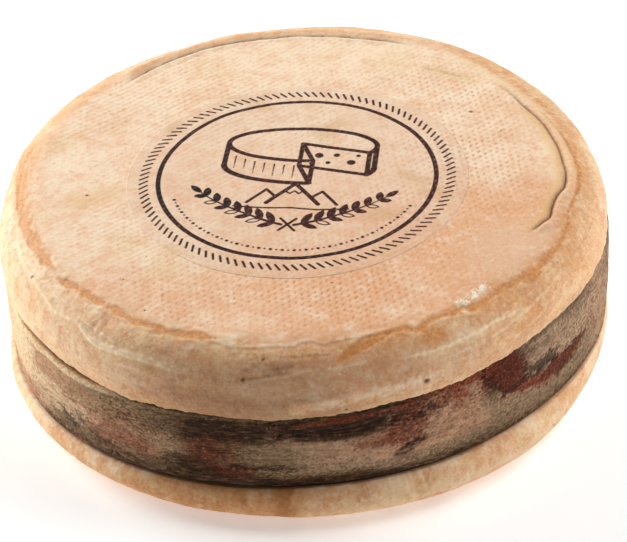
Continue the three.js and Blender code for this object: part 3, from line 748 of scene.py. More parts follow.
def draw_print(u, v):
    p = Print(u, v)
    rho = np.hypot(u, v)
    p.put(np.abs(rho - RING_R) - 0.84)
    # Rope border outside the ring.
    for k in range(118):
        a = 2 * math.pi * k / 118
        r0, r1 = 50.4, 53.0
        p.stroke([(r0 * math.cos(a), r0 * math.sin(a)), (r1 * math.cos(a + 0.035), r1 * math.sin(a + 0.035))], 0.42)
    # Row of dots inside it, at the foot.
    for k in range(-26, 27):
        a = math.radians(-90 + 2.6 * k)
        p.dot(42.4 * math.cos(a), 42.4 * math.sin(a), 0.42 if k % 2 else 0.62)
    # A cut cheese wheel.
    a0, b0, cy, h = 25.5, 10.0, 19.0, 13.5
    ell = lambda g, y0: (a0 * math.cos(math.radians(g)), y0 + b0 * math.sin(math.radians(g)))
    top = [ell(g, cy) for g in np.arange(-24, 281, 5)]
    p.stroke(top, 0.95)
    q0, q1 = ell(-24, cy), ell(-80, cy)
    p.stroke([(0, cy + 0.5), q0], 0.85)
    p.stroke([(0, cy + 0.5), q1], 0.85)
    p.stroke([ell(g, cy - h) for g in np.arange(180, 281, 5)], 1.05)
    p.stroke([ell(g, cy - h) for g in np.arange(-24, 1, 4)], 1.05)
    p.stroke([(-a0, cy), (-a0, cy - h)], 0.95)
    p.stroke([(a0, cy), (a0, cy - h)], 0.95)
    p.stroke([q0, (q0[0], q0[1] - h)], 0.85)
    p.stroke([q1, (q1[0], q1[1] - h)], 0.85)
    p.stroke([(0, cy + 0.5), (0, cy - h + 0.5)], 0.8)
    p.stroke([(0, cy - h + 0.5), (q0[0], q0[1] - h)], 0.85)
    p.stroke([(0, cy - h + 0.5), (q1[0], q1[1] - h)], 0.85)
    for x, y, r in ((6.2, 12.6, 1.5), (12.2, 12.9, 1.1), (17.5, 8.6, 1.5), (9.6, 8.2, 0.9), (19.6, 12.8, 0.8), (4.0, 7.6, 0.8)):
        p.dot(x, y, r)
    for k in range(7):
        x = -22.0 + 3.4 * k
        y0 = cy - b0 * math.sqrt(max(0, 1 - (x / a0) ** 2))
        p.stroke([(x, y0 - 3.2), (x, y0 - 3.2 - (5.6 if k % 2 else 7.2))], 0.32, 0.16)
    # Two leafy sprigs under it.
    for sx in (-1, 1):
        stem = []
        for t in np.linspace(0, 1, 15):
            a = math.radians(-90 + sx * (4 + 62 * t))
            rr = lerp(30.5, 33.5, t) - 3.0 * math.sin(math.pi * t)
            stem.append((rr * math.cos(a), rr * math.sin(a) + 2.0))
        p.stroke(stem, 0.62, 0.28)
        for i in range(1, 14, 2):
            x, y = stem[i]
            dx, dy = stem[i + 1][0] - x, stem[i + 1][1] - y
            g = math.atan2(dy, dx)
            p.leaf(x, y, g + sx * 0.75, 7.2 - 0.16 * i, 2.7, filled=True)
            p.leaf(x, y, g - sx * 0.75, 6.2 - 0.14 * i, 2.4, filled=(i % 4 == 1))
        x, y = stem[-1]
        p.leaf(x, y, math.atan2(y - stem[-2][1], x - stem[-2][0]), 6.0, 2.4)
    p.stroke([(-2.6, -31.5), (2.6, -25.0)], 0.5)
    p.stroke([(2.6, -31.5), (-2.6, -25.0)], 0.5)
    # Three small peaks between the sprigs.
    p.stroke([(-15, -16.5), (-9.2, -8.8), (-6.2, -12.4)], 0.6)
    p.stroke([(-8.5, -16.5), (0.2, -5.0), (8.8, -16.5)], 0.8)
    p.stroke([(6.4, -12.6), (9.6, -9.2), (15, -16.5)], 0.6)
    p.stroke([(-3.0, -9.4), (-1.2, -10.8), (0.3, -9.2), (1.8, -10.8), (3.2, -9.2)], 0.38)
    p.stroke([(-19, -18.8), (-9, -19.4), (0, -18.9), (9, -19.5), (19, -18.8)], 0.42)
    return p.d


def make_label():
    NT, NR = 900, 144
    th = 2 * np.pi * np.arange(NT) / NT
    frac = np.linspace(0, 1, NR + 1)[1:]
    wob = 1 + 0.0022 * noise(np.stack([np.cos(th) * 3, np.sin(th) * 3, 0 * th], -1), 71)
    rr = frac[:, None] * LABEL_R * lerp(1.0, wob, frac[:, None] ** 6)
    X = LABEL_AT[0] + rr * np.cos(th)
    Y = LABEL_AT[1] + rr * np.sin(th)
    P = np.stack([X, Y, np.full_like(X, HEIGHT)], -1).reshape(-1, 3)
    r = np.hypot(P[:, 0], P[:, 1])
    d = 0.42 * fbm(P, 46, 2, 8) + 0.16 * fbm(P, 13, 2, 9)
    pit, lines = pits(P)
    strength = imprint_strength(P, r)
    pit = pit * strength
    local = rr.ravel()
    edge = step(LABEL_R, LABEL_R - 0.5, local)
    d += -0.13 * pit + 0.05 * strength + 0.1 - 0.05 * step(LABEL_R - 2.5, LABEL_R, local)
    z = HEIGHT + d
    # The rim lies down on the rind, and lifts a little in places.
    lift = 0.06 * step(0.25, 0.8, noise(P / 9.0, 72)) * step(LABEL_R - 3, LABEL_R, local)
    top = np.column_stack([P[:, 0], P[:, 1], z + lift])
    bottom_z = z.reshape(NR, NT)[-1] + lift.reshape(NR, NT)[-1] - 0.16
    under = np.column_stack([P.reshape(NR, NT, 3)[-1, :, 0], P.reshape(NR, NT, 3)[-1, :, 1], bottom_z])
    n = len(top)
    centre = np.array([[LABEL_AT[0], LABEL_AT[1], z.reshape(NR, NT)[0].mean()]])
    low = np.array([[LABEL_AT[0], LABEL_AT[1], HEIGHT - 0.12]])
    inner_rings = []
    for f in (0.98, 0.9, 0.75, 0.6, 0.45, 0.3, 0.15):
        k = int(round(f * NR)) - 1
        q = top.reshape(NR, NT, 3)[k].copy()
        q[:, 2] -= 0.16
        inner_rings.append(q)
    verts = np.vstack([top, under] + inner_rings + [centre, low])
    rows = NR + 1 + len(inner_rings)
    # Rows go out over the top, round the rim and back in underneath, so columns anticlockwise face down: turn them.
    quads = grid_quads(rows, NT, wrap_cols=True)[:, ::-1]
    i = np.arange(NT)
    j = (i + 1) % NT
    c0, c1 = rows * NT, rows * NT + 1
    tris = np.concatenate([np.stack([np.full(NT, c0), i, j], -1), np.stack([np.full(NT, c1), (rows - 1) * NT + j, (rows - 1) * NT + i], -1)])
    a = math.radians(-8.0)
    u = (verts[:, 0] - LABEL_AT[0]) * math.cos(a) + (verts[:, 1] - LABEL_AT[1]) * math.sin(a)
    v = -(verts[:, 0] - LABEL_AT[0]) * math.sin(a) + (verts[:, 1] - LABEL_AT[1]) * math.cos(a)
    ink = np.full(len(verts), 2.0, np.float32)
    ink[:n] = draw_print(u[:n], v[:n])
    full = len(verts)
    pitf = np.zeros(full, np.float32)
    pitf[:n] = pit
    linf = np.zeros(full, np.float32)
    linf[:n] = lines
    warm = np.full(full, 0.5, np.float32)
    warm[:n] = warmth(P)
    rimf = np.ones(full, np.float32)
    rimf[:n] = 1 - edge
    rimf[-2:] = 0
    return new_mesh("label_print", verts, quads, tris, {"ink": ink, "pit": pitf, "lines": linf, "rim": rimf, "peach": warm})


# ---- the bark strip ----
def make_strap():
    NA = 1640
    total = 360 + LAP_TURN
    turned = np.linspace(0, total, NA)
    deg = LAP_START + turned
    a = np.radians(deg)
    edge, low, high = knot("Rs", a), knot("zb", a), knot("zt", a)
    move = np.where(turned < 180, -pressed(deg) * (turned <= LAP_TURN + LAP_EASE), LAP_OUT * ease((turned - 360 + LAP_EASE) / LAP_EASE))
    from_end = np.minimum(turned, total - turned)
    thick = STRAP_THICK * lerp(0.5, 1.0, ease(from_end / 7))
    arcmm = np.cumsum(np.r_[0, np.hypot(np.diff(edge * np.cos(a)), np.diff(edge * np.sin(a)))])
    line = np.stack([arcmm, 0 * arcmm, 0 * arcmm], -1)
    # Ragged cut edges.
    low_e = low + 0.32 + 0.28 * fbm(line, 9, 3, 81) + 0.10 * noise(line / 0.9, 82)
    high_e = high - 0.42 + 0.30 * fbm(line + 50, 11, 3, 83) + 0.10 * noise(line / 0.9 + 9, 84)
    proud = 0.55 * arc(deg, 204, 233, 5) + 1.0 * arc(deg, 344, 376, 16) + 0.12 * fbm(line, 26, 2, 85)
    # The strip's upper edge stands off the rind at the front left.
    flare = 1.5 * arc(deg, 203, 230, 7)
    NV = 76
    v = np.linspace(0, 1, NV)
    outer_r, outer_z, kinds, vs = [], [], [], []
    inner = edge - STRAP_THICK + move
    outer = inner + thick + proud
    for f in v:
        rnd = 0.55 * ((1 - min(1, f / 0.035)) ** 2 + (1 - min(1, (1 - f) / 0.03)) ** 2)
        outer_r.append(outer + 0.6 * math.sin(math.pi * f) - rnd + flare * ease((f - 0.6) / 0.4))
        outer_z.append(lerp(low_e, high_e, f))
        kinds.append(0)
        vs.append(f)
    for s in (0.2, 0.45, 0.7, 0.95):
        outer_r.append(lerp(outer - 0.55, inner + 0.1, s) + flare)
        outer_z.append(high_e - 0.03 * s)
        kinds.append(1)
        vs.append(1.0 + 0.1 * s)
    for f in np.linspace(1, 0, 9):
        outer_r.append(inner + flare * ease((f - 0.6) / 0.4))
        outer_z.append(lerp(low_e + 0.1, high_e - 0.1, f))
        kinds.append(2)
        vs.append(f)
    for s in (0.95, 0.7, 0.45, 0.2):
        outer_r.append(lerp(outer - 0.55, inner + 0.1, s))
        outer_z.append(low_e + 0.03 * s)
        kinds.append(3)
        vs.append(-0.1 * s)
    R = np.array(outer_r)
    Z = np.array(outer_z)
    rows = len(kinds)
    P3 = np.stack([CX + R * np.cos(a), CY + R * np.sin(a), Z], -1)
    K = np.repeat(np.array(kinds), NA)
    V = np.repeat(np.array(vs), NA)
    D = np.broadcast_to(deg, (rows, NA)).ravel() % 360
    A = np.broadcast_to(arcmm, (rows, NA)).ravel()
    H = V * 34.0
    n = len(V)
    z0 = np.zeros(n, np.float32)
    # Bark space: along the strip, up it.
    B = np.stack([A, H, z0], -1)
    wave = 0.9 * noise(np.stack([A / 30.0, H / 26.0, z0], -1), 90)
    F = np.stack([A, H + wave * 1.6, z0], -1)
    fib = noise(F / np.array([17.0, 1.15, 1]), 91) * 0.55 + noise(F / np.array([7.0, 0.55, 1]) + 5, 92) * 0.45
    fib2 = fbm(F / np.array([5.0, 1.0, 1]), 1.5, 2, 93)
    lump = fbm(B / np.array([1.2, 1, 1]), 3.0, 3, 96)
    cloud = fbm(B / np.array([1.9, 1, 1]), 9.0, 3, 97)
    fine = noise(B / 1.05, 86) * 0.6 + noise(B / 0.7 + 3, 87) * 0.4
    edge_n = 0.34 * cloud + 0.42 * lump + 0.42 * fine + 0.12 * fib

    def patch(a0, a1, v0, v1, sa=2.0, sv=0.07, rough=1.0):
        """A patch between two angles and two heights, its edge broken up."""
        mid, half = (a0 + a1) / 2, (a1 - a0) / 2
        da = (np.abs(angle_gap(D, mid)) - half) / sa
        dv = (np.abs(V - (v0 + v1) / 2) - (v1 - v0) / 2) / sv
        q = np.where((da > 0) & (dv > 0), np.hypot(da, dv), np.maximum(da, dv))
        return step(0.62, -0.62, q + rough * 2.1 * edge_n)

    def streak(pts, w, rough=1.0):
        """A streak through points (angle, height, width share)."""
        best = np.full(n, 9.0)
        for (a0, v0, w0), (a1, v1, w1) in zip(pts[:-1], pts[1:]):
            x, y = angle_gap(D, a0) * 1.8, (V - v0) * 34
            dx, dy = (a1 - a0) * 1.8, (v1 - v0) * 34
            s = np.clip((x * dx + y * dy) / (dx * dx + dy * dy), 0, 1)
            q = np.hypot(x - s * dx, y - s * dy) / (w * lerp(w0, w1, s)) - 1
            best = np.minimum(best, q)
        return step(0.42, -0.42, best + rough * 1.7 * edge_n)

    beige, black, red, pink, grey, cream, tan = (z0.copy() for _ in range(7))
    seen = arc(D, 194, 350, 6)
    # Unseen back: much like the seen half, in broad alternating tones.
    slow = noise(np.stack([A / 46.0, H / 60.0, z0], -1), 98)
    over(grey, step(-0.35, 0.35, slow + 0.7 * edge_n) * (1 - seen), 0.85)
    over(beige, step(0.0, 0.6, slow + 0.9 * edge_n + 0.5 * cloud) * (1 - seen), 0.8)
    over(pink, step(0.25, 0.6, fbm(B / np.array([2.6, 1, 1]), 14, 2, 199) + 0.5 * edge_n) * (1 - seen), 0.8)
    over(red, step(0.3, 0.6, fbm(B / np.array([2.6, 1, 1]), 12, 2, 99) + 0.5 * edge_n) * (1 - seen), 0.8)
    over(black, step(0.25, 0.65, -slow + 0.9 * edge_n) * (1 - seen), 0.75)

    # Left: cream bloom over tan bark; the cream high up at the left end is partly a painted highlight.
    over(tan, patch(180, 226, -0.1, 1.1, 5, 0.1, 0.6), 1.0)
    over(cream, patch(180, 209, 0.28, 1.1, 4, 0.12, 0.8), 0.85)
    over(cream, patch(196, 211, 0.5, 1.0, 3, 0.1, 1.3), 0.5)
    over(grey, patch(217, 238, 0.5, 0.93, 3, 0.08, 1.4), 0.3)
    over(tan, patch(156, 190, -0.1, 1.1, 16, 0.3, 2.4), 0.85)
    over(cream, patch(162, 186, 0.2, 1.0, 16, 0.3, 2.8), 0.6)
    over(pink, patch(187, 197, 0.0, 0.6, 3, 0.1), 0.8)
    over(pink, patch(202.5, 213, 0.0, 0.46, 2, 0.1, 1.0), 0.85)
    over(red, patch(203, 212, 0.05, 0.42, 2, 0.08, 1.4), 0.32)
    over(pink, patch(210, 216, 0.5, 1.0, 1.5, 0.1, 1.2), 0.5)
    over(cream, patch(209, 225, 0.12, 0.6, 3, 0.1, 2.0), 0.55)
    over(red, patch(215, 226, 0.1, 0.55, 3, 0.1, 2.0), 0.4)
    over(black, patch(214, 228, 0.05, 0.3, 3, 0.08, 2.6), 0.4)
    over(black, patch(219, 222.5, 0.2, 0.31, 1.2, 0.04, 1.8), 0.7)
    over(black, patch(223, 224.5, 0.33, 0.44, 0.7, 0.04, 1.6), 0.6)
    # Centre left: grey-brown going dark.
    over(grey, patch(224, 246, 0.05, 1.1, 5, 0.2, 1.0), 0.85)
    over(tan, patch(212, 236, 0.05, 0.6, 5, 0.1, 1.4), 0.7)
    over(tan, patch(210, 232, 0.5, 0.95, 4, 0.1, 1.8), 0.6)
    over(cream, patch(212, 226, 0.12, 0.6, 5, 0.12, 2.6), 0.5)
    over(red, patch(214, 230, 0.05, 0.5, 4, 0.1, 2.6), 0.3)
    over(black, patch(212, 234, 0.0, 0.3, 4, 0.08, 3.0), 0.5)
    over(pink, patch(202, 238, 0.1, 0.92, 5, 0.1, 2.0), 0.34)
    over(red, patch(204, 236, 0.1, 0.7, 5, 0.1, 2.8), 0.22)
    over(pink, patch(224, 243, 0.25, 0.6, 4, 0.1, 1.6), 0.5)
    over(red, patch(225, 240, 0.28, 0.5, 2, 0.08, 1.5), 0.5)
    over(red, patch(233.5, 236, 0.66, 0.78, 1, 0.05, 1.6), 0.5)
    over(beige, patch(240, 247, 0.38, 0.57, 2, 0.06, 1.5), 0.6)
    over(beige, patch(226, 243, 0.02, 0.2, 5, 0.06, 2.1), 0.4)
    over(black, patch(229, 246, 0.06, 0.26, 4, 0.07, 2.0), 0.5)
    over(black, patch(243, 250, 0.08, 0.36, 2, 0.07, 1.5), 0.75)
    # Centre: black-brown.
    over(black, patch(246, 258, -0.1, 1.1, 6, 0.2, 1.3), 0.3)
    over(black, patch(247.5, 263, 0.66, 0.9, 2.5, 0.07, 1.6), 0.8)
    over(black, patch(239, 249, 0.66, 0.92, 3, 0.07, 1.9), 0.4)
    over(black, patch(262, 285, 0.68, 0.82, 3, 0.05, 1.3), 0.85)
    over(red, patch(247, 257, 0.28, 0.66, 3, 0.1, 1.3), 0.42)
    over(red, patch(252, 259.5, 0.12, 0.27, 1.6, 0.06, 1.2), 0.8)
    over(black, patch(246, 262, 0.0, 0.25, 3, 0.06, 1.8), 0.55)
    over(grey, patch(244, 300, 0.93, 1.1, 4, 0.04, 1.0), 0.5)
    over(beige, patch(248, 260, -0.1, 0.1, 2, 0.05, 2.0), 0.4)
    # Grey-beige mould, front.
    over(grey, patch(254, 284, 0.14, 0.62, 3, 0.06, 1.1), 0.95)
    over(beige, patch(258, 269, 0.34, 0.6, 3, 0.06, 1.7), 0.55)
    over(beige, patch(267, 283, 0.2, 0.62, 2.5, 0.06, 1.1), 0.9)
    over(tan, patch(269, 279, 0.3, 0.56, 3, 0.08, 1.5), 0.35)
    over(pink, patch(261.5, 267, 0.62, 0.75, 1.5, 0.05, 1.4), 0.6)
    over(black, patch(256, 269, 0.24, 0.33, 2, 0.03, 1.6), 0.72)
    over(black, patch(255, 270, 0.2, 0.62, 4, 0.1, 2.6), 0.26)
    over(pink, patch(270, 284, 0.3, 0.6, 3, 0.08, 1.2), 0.6)
    # Dark red streak with a black line over it.
    over(black, patch(264, 292, 0.7, 0.99, 3, 0.05, 1.9), 0.75)
    thread = streak([(267, 0.86, 0.6), (274, 0.88, 0.9), (283, 0.87, 1.0), (291, 0.92, 0.9), (301, 0.98, 0.9)], 1.35, 1.5)
    over(red, thread, 0.8)
    over(black, streak([(262, 0.91, 0.6), (272, 0.945, 0.8), (286, 0.95, 0.7)], 1.1, 0.8), 0.72)
    over(black, streak([(266, 0.8, 0.8), (276, 0.835, 0.8), (284, 0.83, 0.8)], 0.8, 0.8), 0.7)
    over(black, patch(272, 284, 0.64, 0.8, 2, 0.05, 1.3), 0.75)
    # Pink and red-brown patch with a black slanting mark.
    over(pink, patch(282, 302, 0.26, 0.92, 3, 0.07, 1.0), 0.95)
    over(beige, patch(280, 345, 0.1, 0.6, 3, 0.08, 1.1), 0.62)
    over(red, patch(283.5, 289.5, 0.4, 0.97, 1.3, 0.06, 1.9), 0.75)
    over(red, patch(276.5, 284, 0.45, 0.6, 1.5, 0.05, 1.9), 0.6)
    over(red, patch(287, 298, 0.74, 0.93, 2.5, 0.06, 1.9), 0.62)
    over(red, patch(294, 303, 0.84, 1.1, 2.0, 0.06, 1.3), 0.8)
    over(red, patch(295, 298, 0.6, 0.8, 1.2, 0.05, 1.7), 0.45)
    over(black, patch(284, 291, 0.42, 0.97, 2.0, 0.08, 2.5), 0.34)
    over(black, patch(287.5, 289.5, 0.7, 0.8, 0.7, 0.03, 1.5), 0.8)
    over(black, streak([(284.6, 0.27, 0.7), (286.4, 0.33, 1.1), (288.6, 0.4, 0.7)], 1.7, 1.2), 0.92)
    over(black, patch(280.3, 282.2, 0.46, 0.53, 0.6, 0.03, 1.4), 0.85)
    over(beige, patch(282, 291, 0.08, 0.24, 2, 0.05, 1.3), 0.6)
    # Beige-grey right.
    over(grey, patch(288, 372, -0.1, 1.1, 4, 0.2, 0.6), 0.75)
    over(beige, patch(310, 342, 0.48, 1.0, 4, 0.1, 1.1), 0.82)
    over(pink, patch(334, 366, 0.1, 0.9, 8, 0.2, 0.6), 0.35)
    over(black, patch(312, 331, 0.91, 0.96, 3, 0.03, 1.6), 0.6)
    over(black, patch(312, 319, 0.77, 0.83, 2, 0.03, 2.0), 0.5)
    over(black, patch(322, 334, 0.8, 0.98, 3, 0.07, 2.5), 0.45)
    over(black, streak([(344, 0.76, 0.5), (350, 0.55, 0.9), (356, 0.33, 0.5)], 1.1, 1.6), 0.4)
    over(cream, streak([(346, 0.84, 0.7), (352, 0.66, 1.0), (357, 0.48, 0.7)], 1.4, 1.0), 0.35)
    # The big dark red patch and its tail.
    over(red, streak([(303.6, 1.0, 1.05), (306.0, 0.82, 1.2), (308.6, 0.66, 0.95)], 6.4, 1.0), 1.0)
    over(red, streak([(307.0, 0.6, 0.9), (311, 0.48, 0.9), (316, 0.4, 1.0), (321, 0.385, 1.25), (326, 0.4, 0.95), (331, 0.46, 0.4)], 3.1, 1.15), 1.0)
    over(black, patch(302, 313, 0.52, 1.05, 2.5, 0.1, 2.3), 0.6)
    over(black, streak([(301.8, 0.84, 0.5), (303.6, 0.68, 0.8), (306.2, 0.56, 1.1), (310, 0.51, 1.0), (315, 0.5, 0.9), (318.5, 0.52, 0.6)], 1.6, 2.0), 0.75)
    over(black, patch(311.5, 320, 0.5, 0.65, 1.6, 0.05, 2.2), 0.85)
    over(beige, patch(316.6, 319, 0.46, 0.55, 0.8, 0.03, 1.4), 0.75)
    over(beige, patch(310.8, 313, 0.57, 0.63, 0.8, 0.03, 1.4), 0.7)
    over(black, patch(320, 328, 0.28, 0.34, 2, 0.03, 1.6), 0.6)
    over(black, patch(316, 332, 0.34, 0.5, 2, 0.05, 2.6), 0.5)
    over(red, streak([(334.2, 0.52, 0.8), (336.2, 0.34, 0.8)], 1.6, 1.2), 0.45)
    # Dark lines near the lower edge, and specks over all.
    over(black, step(0.1, 0.02, V + 0.035 * cloud + 0.04 * fib) * step(-0.3, 0.2, fine + 0.5 * fib), 0.8)
    over(black, patch(214, 300, 0.0, 0.12, 5, 0.06, 3.2), 0.62)
    over(black, step(0.22, 0.5, fib + 0.35 * cloud + 0.3 * fine) * arc(D, 288, 350, 6) * step(0.5, 0.16, V), 0.85)
    over(grey, arc(D, 286, 350, 6) * step(0.44, 0.14, V), 0.6)
    over(black, arc(D, 300, 336, 6) * step(0.42, 0.12, V + 0.1 * cloud + 0.05 * fine), 0.3)
    over(black, step(0.38, 0.62, 0.8 * fine + 0.5 * cloud + 0.35 * lump) * step(208, 222, D), 0.55)
    over(beige, step(0.35, 0.65, 0.8 * fine - 0.5 * cloud) * arc(D, 226, 300, 6), 0.45)
    salt = noise(B / 0.95 + 11, 88) + 0.5 * noise(B / np.array([2.6, 0.8, 1]) + 7, 89)
    over(black, step(0.34, 0.56, salt + 0.35 * lump) * arc(D, 268, 356, 8) * step(0.98, 0.6, V + 0.2 * cloud), 0.5)
    over(black, step(0.3, 0.56, salt + 0.5 * lump + 0.3 * fib) * arc(D, 322, 368, 8), 0.6)
    over(black, step(0.3, 0.55, salt + 0.4 * fib) * np.clip(red, 0, 1), 0.6)
    over(pink, step(0.4, 0.6, -salt + 0.3 * lump) * np.clip(red, 0, 1), 0.5)
    over(cream, step(0.46, 0.7, -salt) * arc(D, 206, 236, 6), 0.5)
    # Painted shadow: black along the strip's top edge at the front, under the rind's overhang.
    over(black, step(0.945, 0.98, V + 0.02 * lump + 0.015 * fine) * arc(D, 234, 302, 6), 0.75)
    # Bare streaks that break up the black, and dark streaks that break up the rest.
    front = arc(D, 226, 304, 6)
    bare = step(0.02, 0.42, noise(B / np.array([4.2, 0.9, 1]) + 3, 76) + 0.45 * fine + 0.3 * lump) * front
    black *= 1 - 0.62 * bare * step(1.0, 0.93, V)
    over(black, step(0.12, 0.5, noise(B / np.array([4.8, 0.8, 1]) + 8, 77) + 0.45 * fine + 0.3 * cloud) * arc(D, 214, 300, 6) * step(0.98, 0.9, V), 0.36)
    black *= 1 - 0.6 * thread
    black *= 1 - 0.4 * patch(266, 283, 0.18, 0.6, 3, 0.08, 1.2)
    # Painted highlight: cream along the strip's upper edge at the front left, where light catches the bark's edge.
    painted_highlight_edge = step(0.925, 0.965, V + 0.02 * lump) * (V < 1.03) * arc(D, 198, 234, 4)
    for channel in (black, red, pink, grey):
        channel *= 1 - 0.8 * painted_highlight_edge
    over(cream, painted_highlight_edge, 0.95)
    cut = ((K == 1) | (K == 3)).astype(float)

    N3 = grid_normals(P3, wrap_cols=False)
    mid_row = NV // 2
    out_dir = np.stack([np.cos(a), np.sin(a), 0 * a], -1)
    if (N3[mid_row] * out_dir).sum(-1).mean() < 0:
        N3 = -N3
    face = (K == 0) * step(0.0, 0.05, V) * step(1.0, 0.95, V)
    d = face * (0.26 * fib + 0.16 * lump + 0.1 * fib2 + 0.22 * cloud - 0.22 * black + 0.14 * beige + 0.12 * cream * lump)
    d += face * -0.18 * step(0.45, 0.75, np.abs(fib))
    d += ((K == 1) | (K == 3)) * 0.06 * fine
    pos = P3 + N3 * d.reshape(rows, NA)[..., None]
    verts = pos.reshape(-1, 3)
    quads = grid_quads(rows, NA, wrap_rows=True)
    ends = []
    for col, turn in ((0, False), (NA - 1, True)):
        # Zip the outer face to the inner face across each end.
        ring = np.arange(rows) * NA + col
        lo_i, hi_i = 0, rows - 1
        tri = []
        i, j = 0, rows - 1
        while j - i > 1:
            zi, zj = verts[ring[i + 1], 2], verts[ring[j - 1], 2]
            if zi <= zj and i + 1 < j:
                tri.append((ring[i], ring[i + 1], ring[j]))
                i += 1
            else:
                tri.append((ring[i], ring[j - 1], ring[j]))
                j -= 1
        tri = np.array(tri)
        ends.append(tri if not turn else tri[:, ::-1])
    tris = np.concatenate(ends)
    attrs = {"beige": beige, "black": black, "red": red, "pink": pink, "grey": grey, "cream": cream, "tan": tan, "cut": cut}
    attrs = {k: np.clip(x, 0, 1) for k, x in attrs.items()}
    attrs["fibre"] = fib
    attrs["grain"] = np.clip(0.54 + 0.5 * cloud + 0.3 * lump - 0.3 * attrs["cream"] + 0.2 * attrs["red"] - 0.15 * arc(D, 196, 228, 6), 0, 1)
    attrs["bark"] = B * 0.001
    return new_mesh("bark_strip", verts, quads, tris, attrs)


# ---- materials ----
class Nodes:
    def __init__(self, name):
        self.mat = bpy.data.materials.new(name)
        self.mat.use_nodes = True
        self.t = self.mat.node_tree
        self.t.nodes.clear()
        self.out = self.t.nodes.new("ShaderNodeOutputMaterial")
        self.b = self.t.nodes.new("ShaderNodeBsdfPrincipled")
        self.t.links.new(self.b.outputs[0], self.out.inputs[0])
        tc = self.t.nodes.new("ShaderNodeTexCoord")
        self.pos = tc.outputs["Object"]

    def link(self, value, socket):
        if isinstance(value, bpy.types.NodeSocket):
            self.t.links.new(value, socket)
        elif value is not None:
            socket.default_value = value

    def attr(self, name, vector=False):
        nd = self.t.nodes.new("ShaderNodeAttribute")
        nd.attribute_name = name
        return nd.outputs["Vector" if vector else "Fac"]

    def math(self, op, a, b=None, c=None, clamp=False):
        nd = self.t.nodes.new("ShaderNodeMath")
        nd.operation = op
        nd.use_clamp = clamp
        for i, x in enumerate((a, b, c)):
            self.link(x, nd.inputs[i]) if x is not None else None
        return nd.outputs[0]

    def ramp(self, value, a, b, lo=0.0, hi=1.0):
        nd = self.t.nodes.new("ShaderNodeMapRange")
        nd.interpolation_type = "SMOOTHSTEP"
        self.link(value, nd.inputs["Value"])
        nd.inputs["From Min"].default_value = a
        nd.inputs["From Max"].default_value = b
        nd.inputs["To Min"].default_value = lo
        nd.inputs["To Max"].default_value = hi
        return nd.outputs["Result"]

    def vmap(self, vec, scale=(1, 1, 1), loc=(0, 0, 0)):
        nd = self.t.nodes.new("ShaderNodeMapping")
        self.link(vec, nd.inputs["Vector"])
        nd.inputs["Scale"].default_value = scale
        nd.inputs["Location"].default_value = loc
        return nd.outputs[0]

    def noise(self, vec, scale, detail=3.0, rough=0.55, distort=0.0):
        nd = self.t.nodes.new("ShaderNodeTexNoise")
        self.link(vec, nd.inputs["Vector"])
        nd.inputs["Scale"].default_value = scale
        nd.inputs["Detail"].default_value = detail
        nd.inputs["Roughness"].default_value = rough
        nd.inputs["Distortion"].default_value = distort
        return nd.outputs["Fac"]

    def voronoi(self, vec, scale, feature="F1", rand=1.0):
        nd = self.t.nodes.new("ShaderNodeTexVoronoi")
        nd.feature = feature
        self.link(vec, nd.inputs["Vector"])
        nd.inputs["Scale"].default_value = scale
        nd.inputs["Randomness"].default_value = rand
        return nd.outputs["Distance"]

    def mix(self, fac, a, b, mode="MIX"):
        nd = self.t.nodes.new("ShaderNodeMix")
        nd.data_type = "RGBA"
        nd.blend_type = mode
        nd.clamp_factor = True
        self.link(fac, nd.inputs["Factor"])
        self.link(a, nd.inputs[6])
        self.link(b, nd.inputs[7])
        return nd.outputs[2]

    def bump(self, height, distance, strength=1.0, normal=None):
        nd = self.t.nodes.new("ShaderNodeBump")
        nd.inputs["Strength"].default_value = strength
        nd.inputs["Distance"].default_value = distance
        self.link(height, nd.inputs["Height"])
        if normal is not None:
            self.link(normal, nd.inputs["Normal"])
        return nd.outputs[0]


def srgb(r, g, b):
    f = lambda c: c / 12.92 if c <= 0.04045 else ((c + 0.055) / 1.055) ** 2.4
    return (f(r / 255), f(g / 255), f(b / 255), 1.0)


def rind_colour(n):
    """The rind's bare colour: peach and cream clouds, mottling, grain, and the imprint's pits, darkened with rust
    colour and painted shade.
    """
    big = n.noise(n.pos, 26, 4, 0.55, 0.4)
    mid = n.noise(n.vmap(n.pos, (1, 1, 1), (0.3, 0.1, 0.2)), 130, 4, 0.6, 0.5)
    small = n.noise(n.pos, 620, 4, 0.65)
    grain = n.noise(n.pos, 2300, 2, 0.6)
    tone = n.math("ADD", n.attr("peach"), n.math("MULTIPLY", n.math("SUBTRACT", big, 0.5), 0.9))
    c = n.mix(n.ramp(tone, 0.15, 0.95), srgb(250, 225, 194), srgb(232, 178, 136))
    c = n.mix(n.ramp(mid, 0.44, 0.66, 0.0, 0.42), c, srgb(234, 176, 132))
    c = n.mix(n.ramp(mid, 0.46, 0.3, 0.0, 0.42), c, srgb(250, 226, 196))
    part = n.noise(n.vmap(n.pos, (1, 1, 1), (0.8, 0.6, 0.4)), 300, 3, 0.6)
    c = n.mix(n.ramp(part, 0.52, 0.68, 0.0, 0.34), c, srgb(226, 166, 120))
    c = n.mix(n.ramp(part, 0.46, 0.32, 0.0, 0.3), c, srgb(253, 232, 206))
    c = n.mix(n.ramp(small, 0.5, 0.72, 0.0, 0.4), c, srgb(214, 158, 116))
    c = n.mix(n.ramp(small, 0.48, 0.3, 0.0, 0.35), c, srgb(252, 230, 204))
    c = n.mix(n.ramp(grain, 0.55, 0.8, 0.0, 0.3), c, srgb(200, 148, 110))
    pit = n.attr("pit")
    lines = n.attr("lines")
    # The pits' colour: their own rust, deepened with painted shade.
    pit_rust_and_shade = n.mix(lines, srgb(190, 118, 76), srgb(212, 150, 104))
    depth = n.math("MULTIPLY", pit, n.ramp(small, 0.3, 0.65, 0.35, 0.95))
    depth = n.math("MULTIPLY", depth, 0.84)
    c = n.mix(depth, c, pit_rust_and_shade)
    return c, small, grain, pit


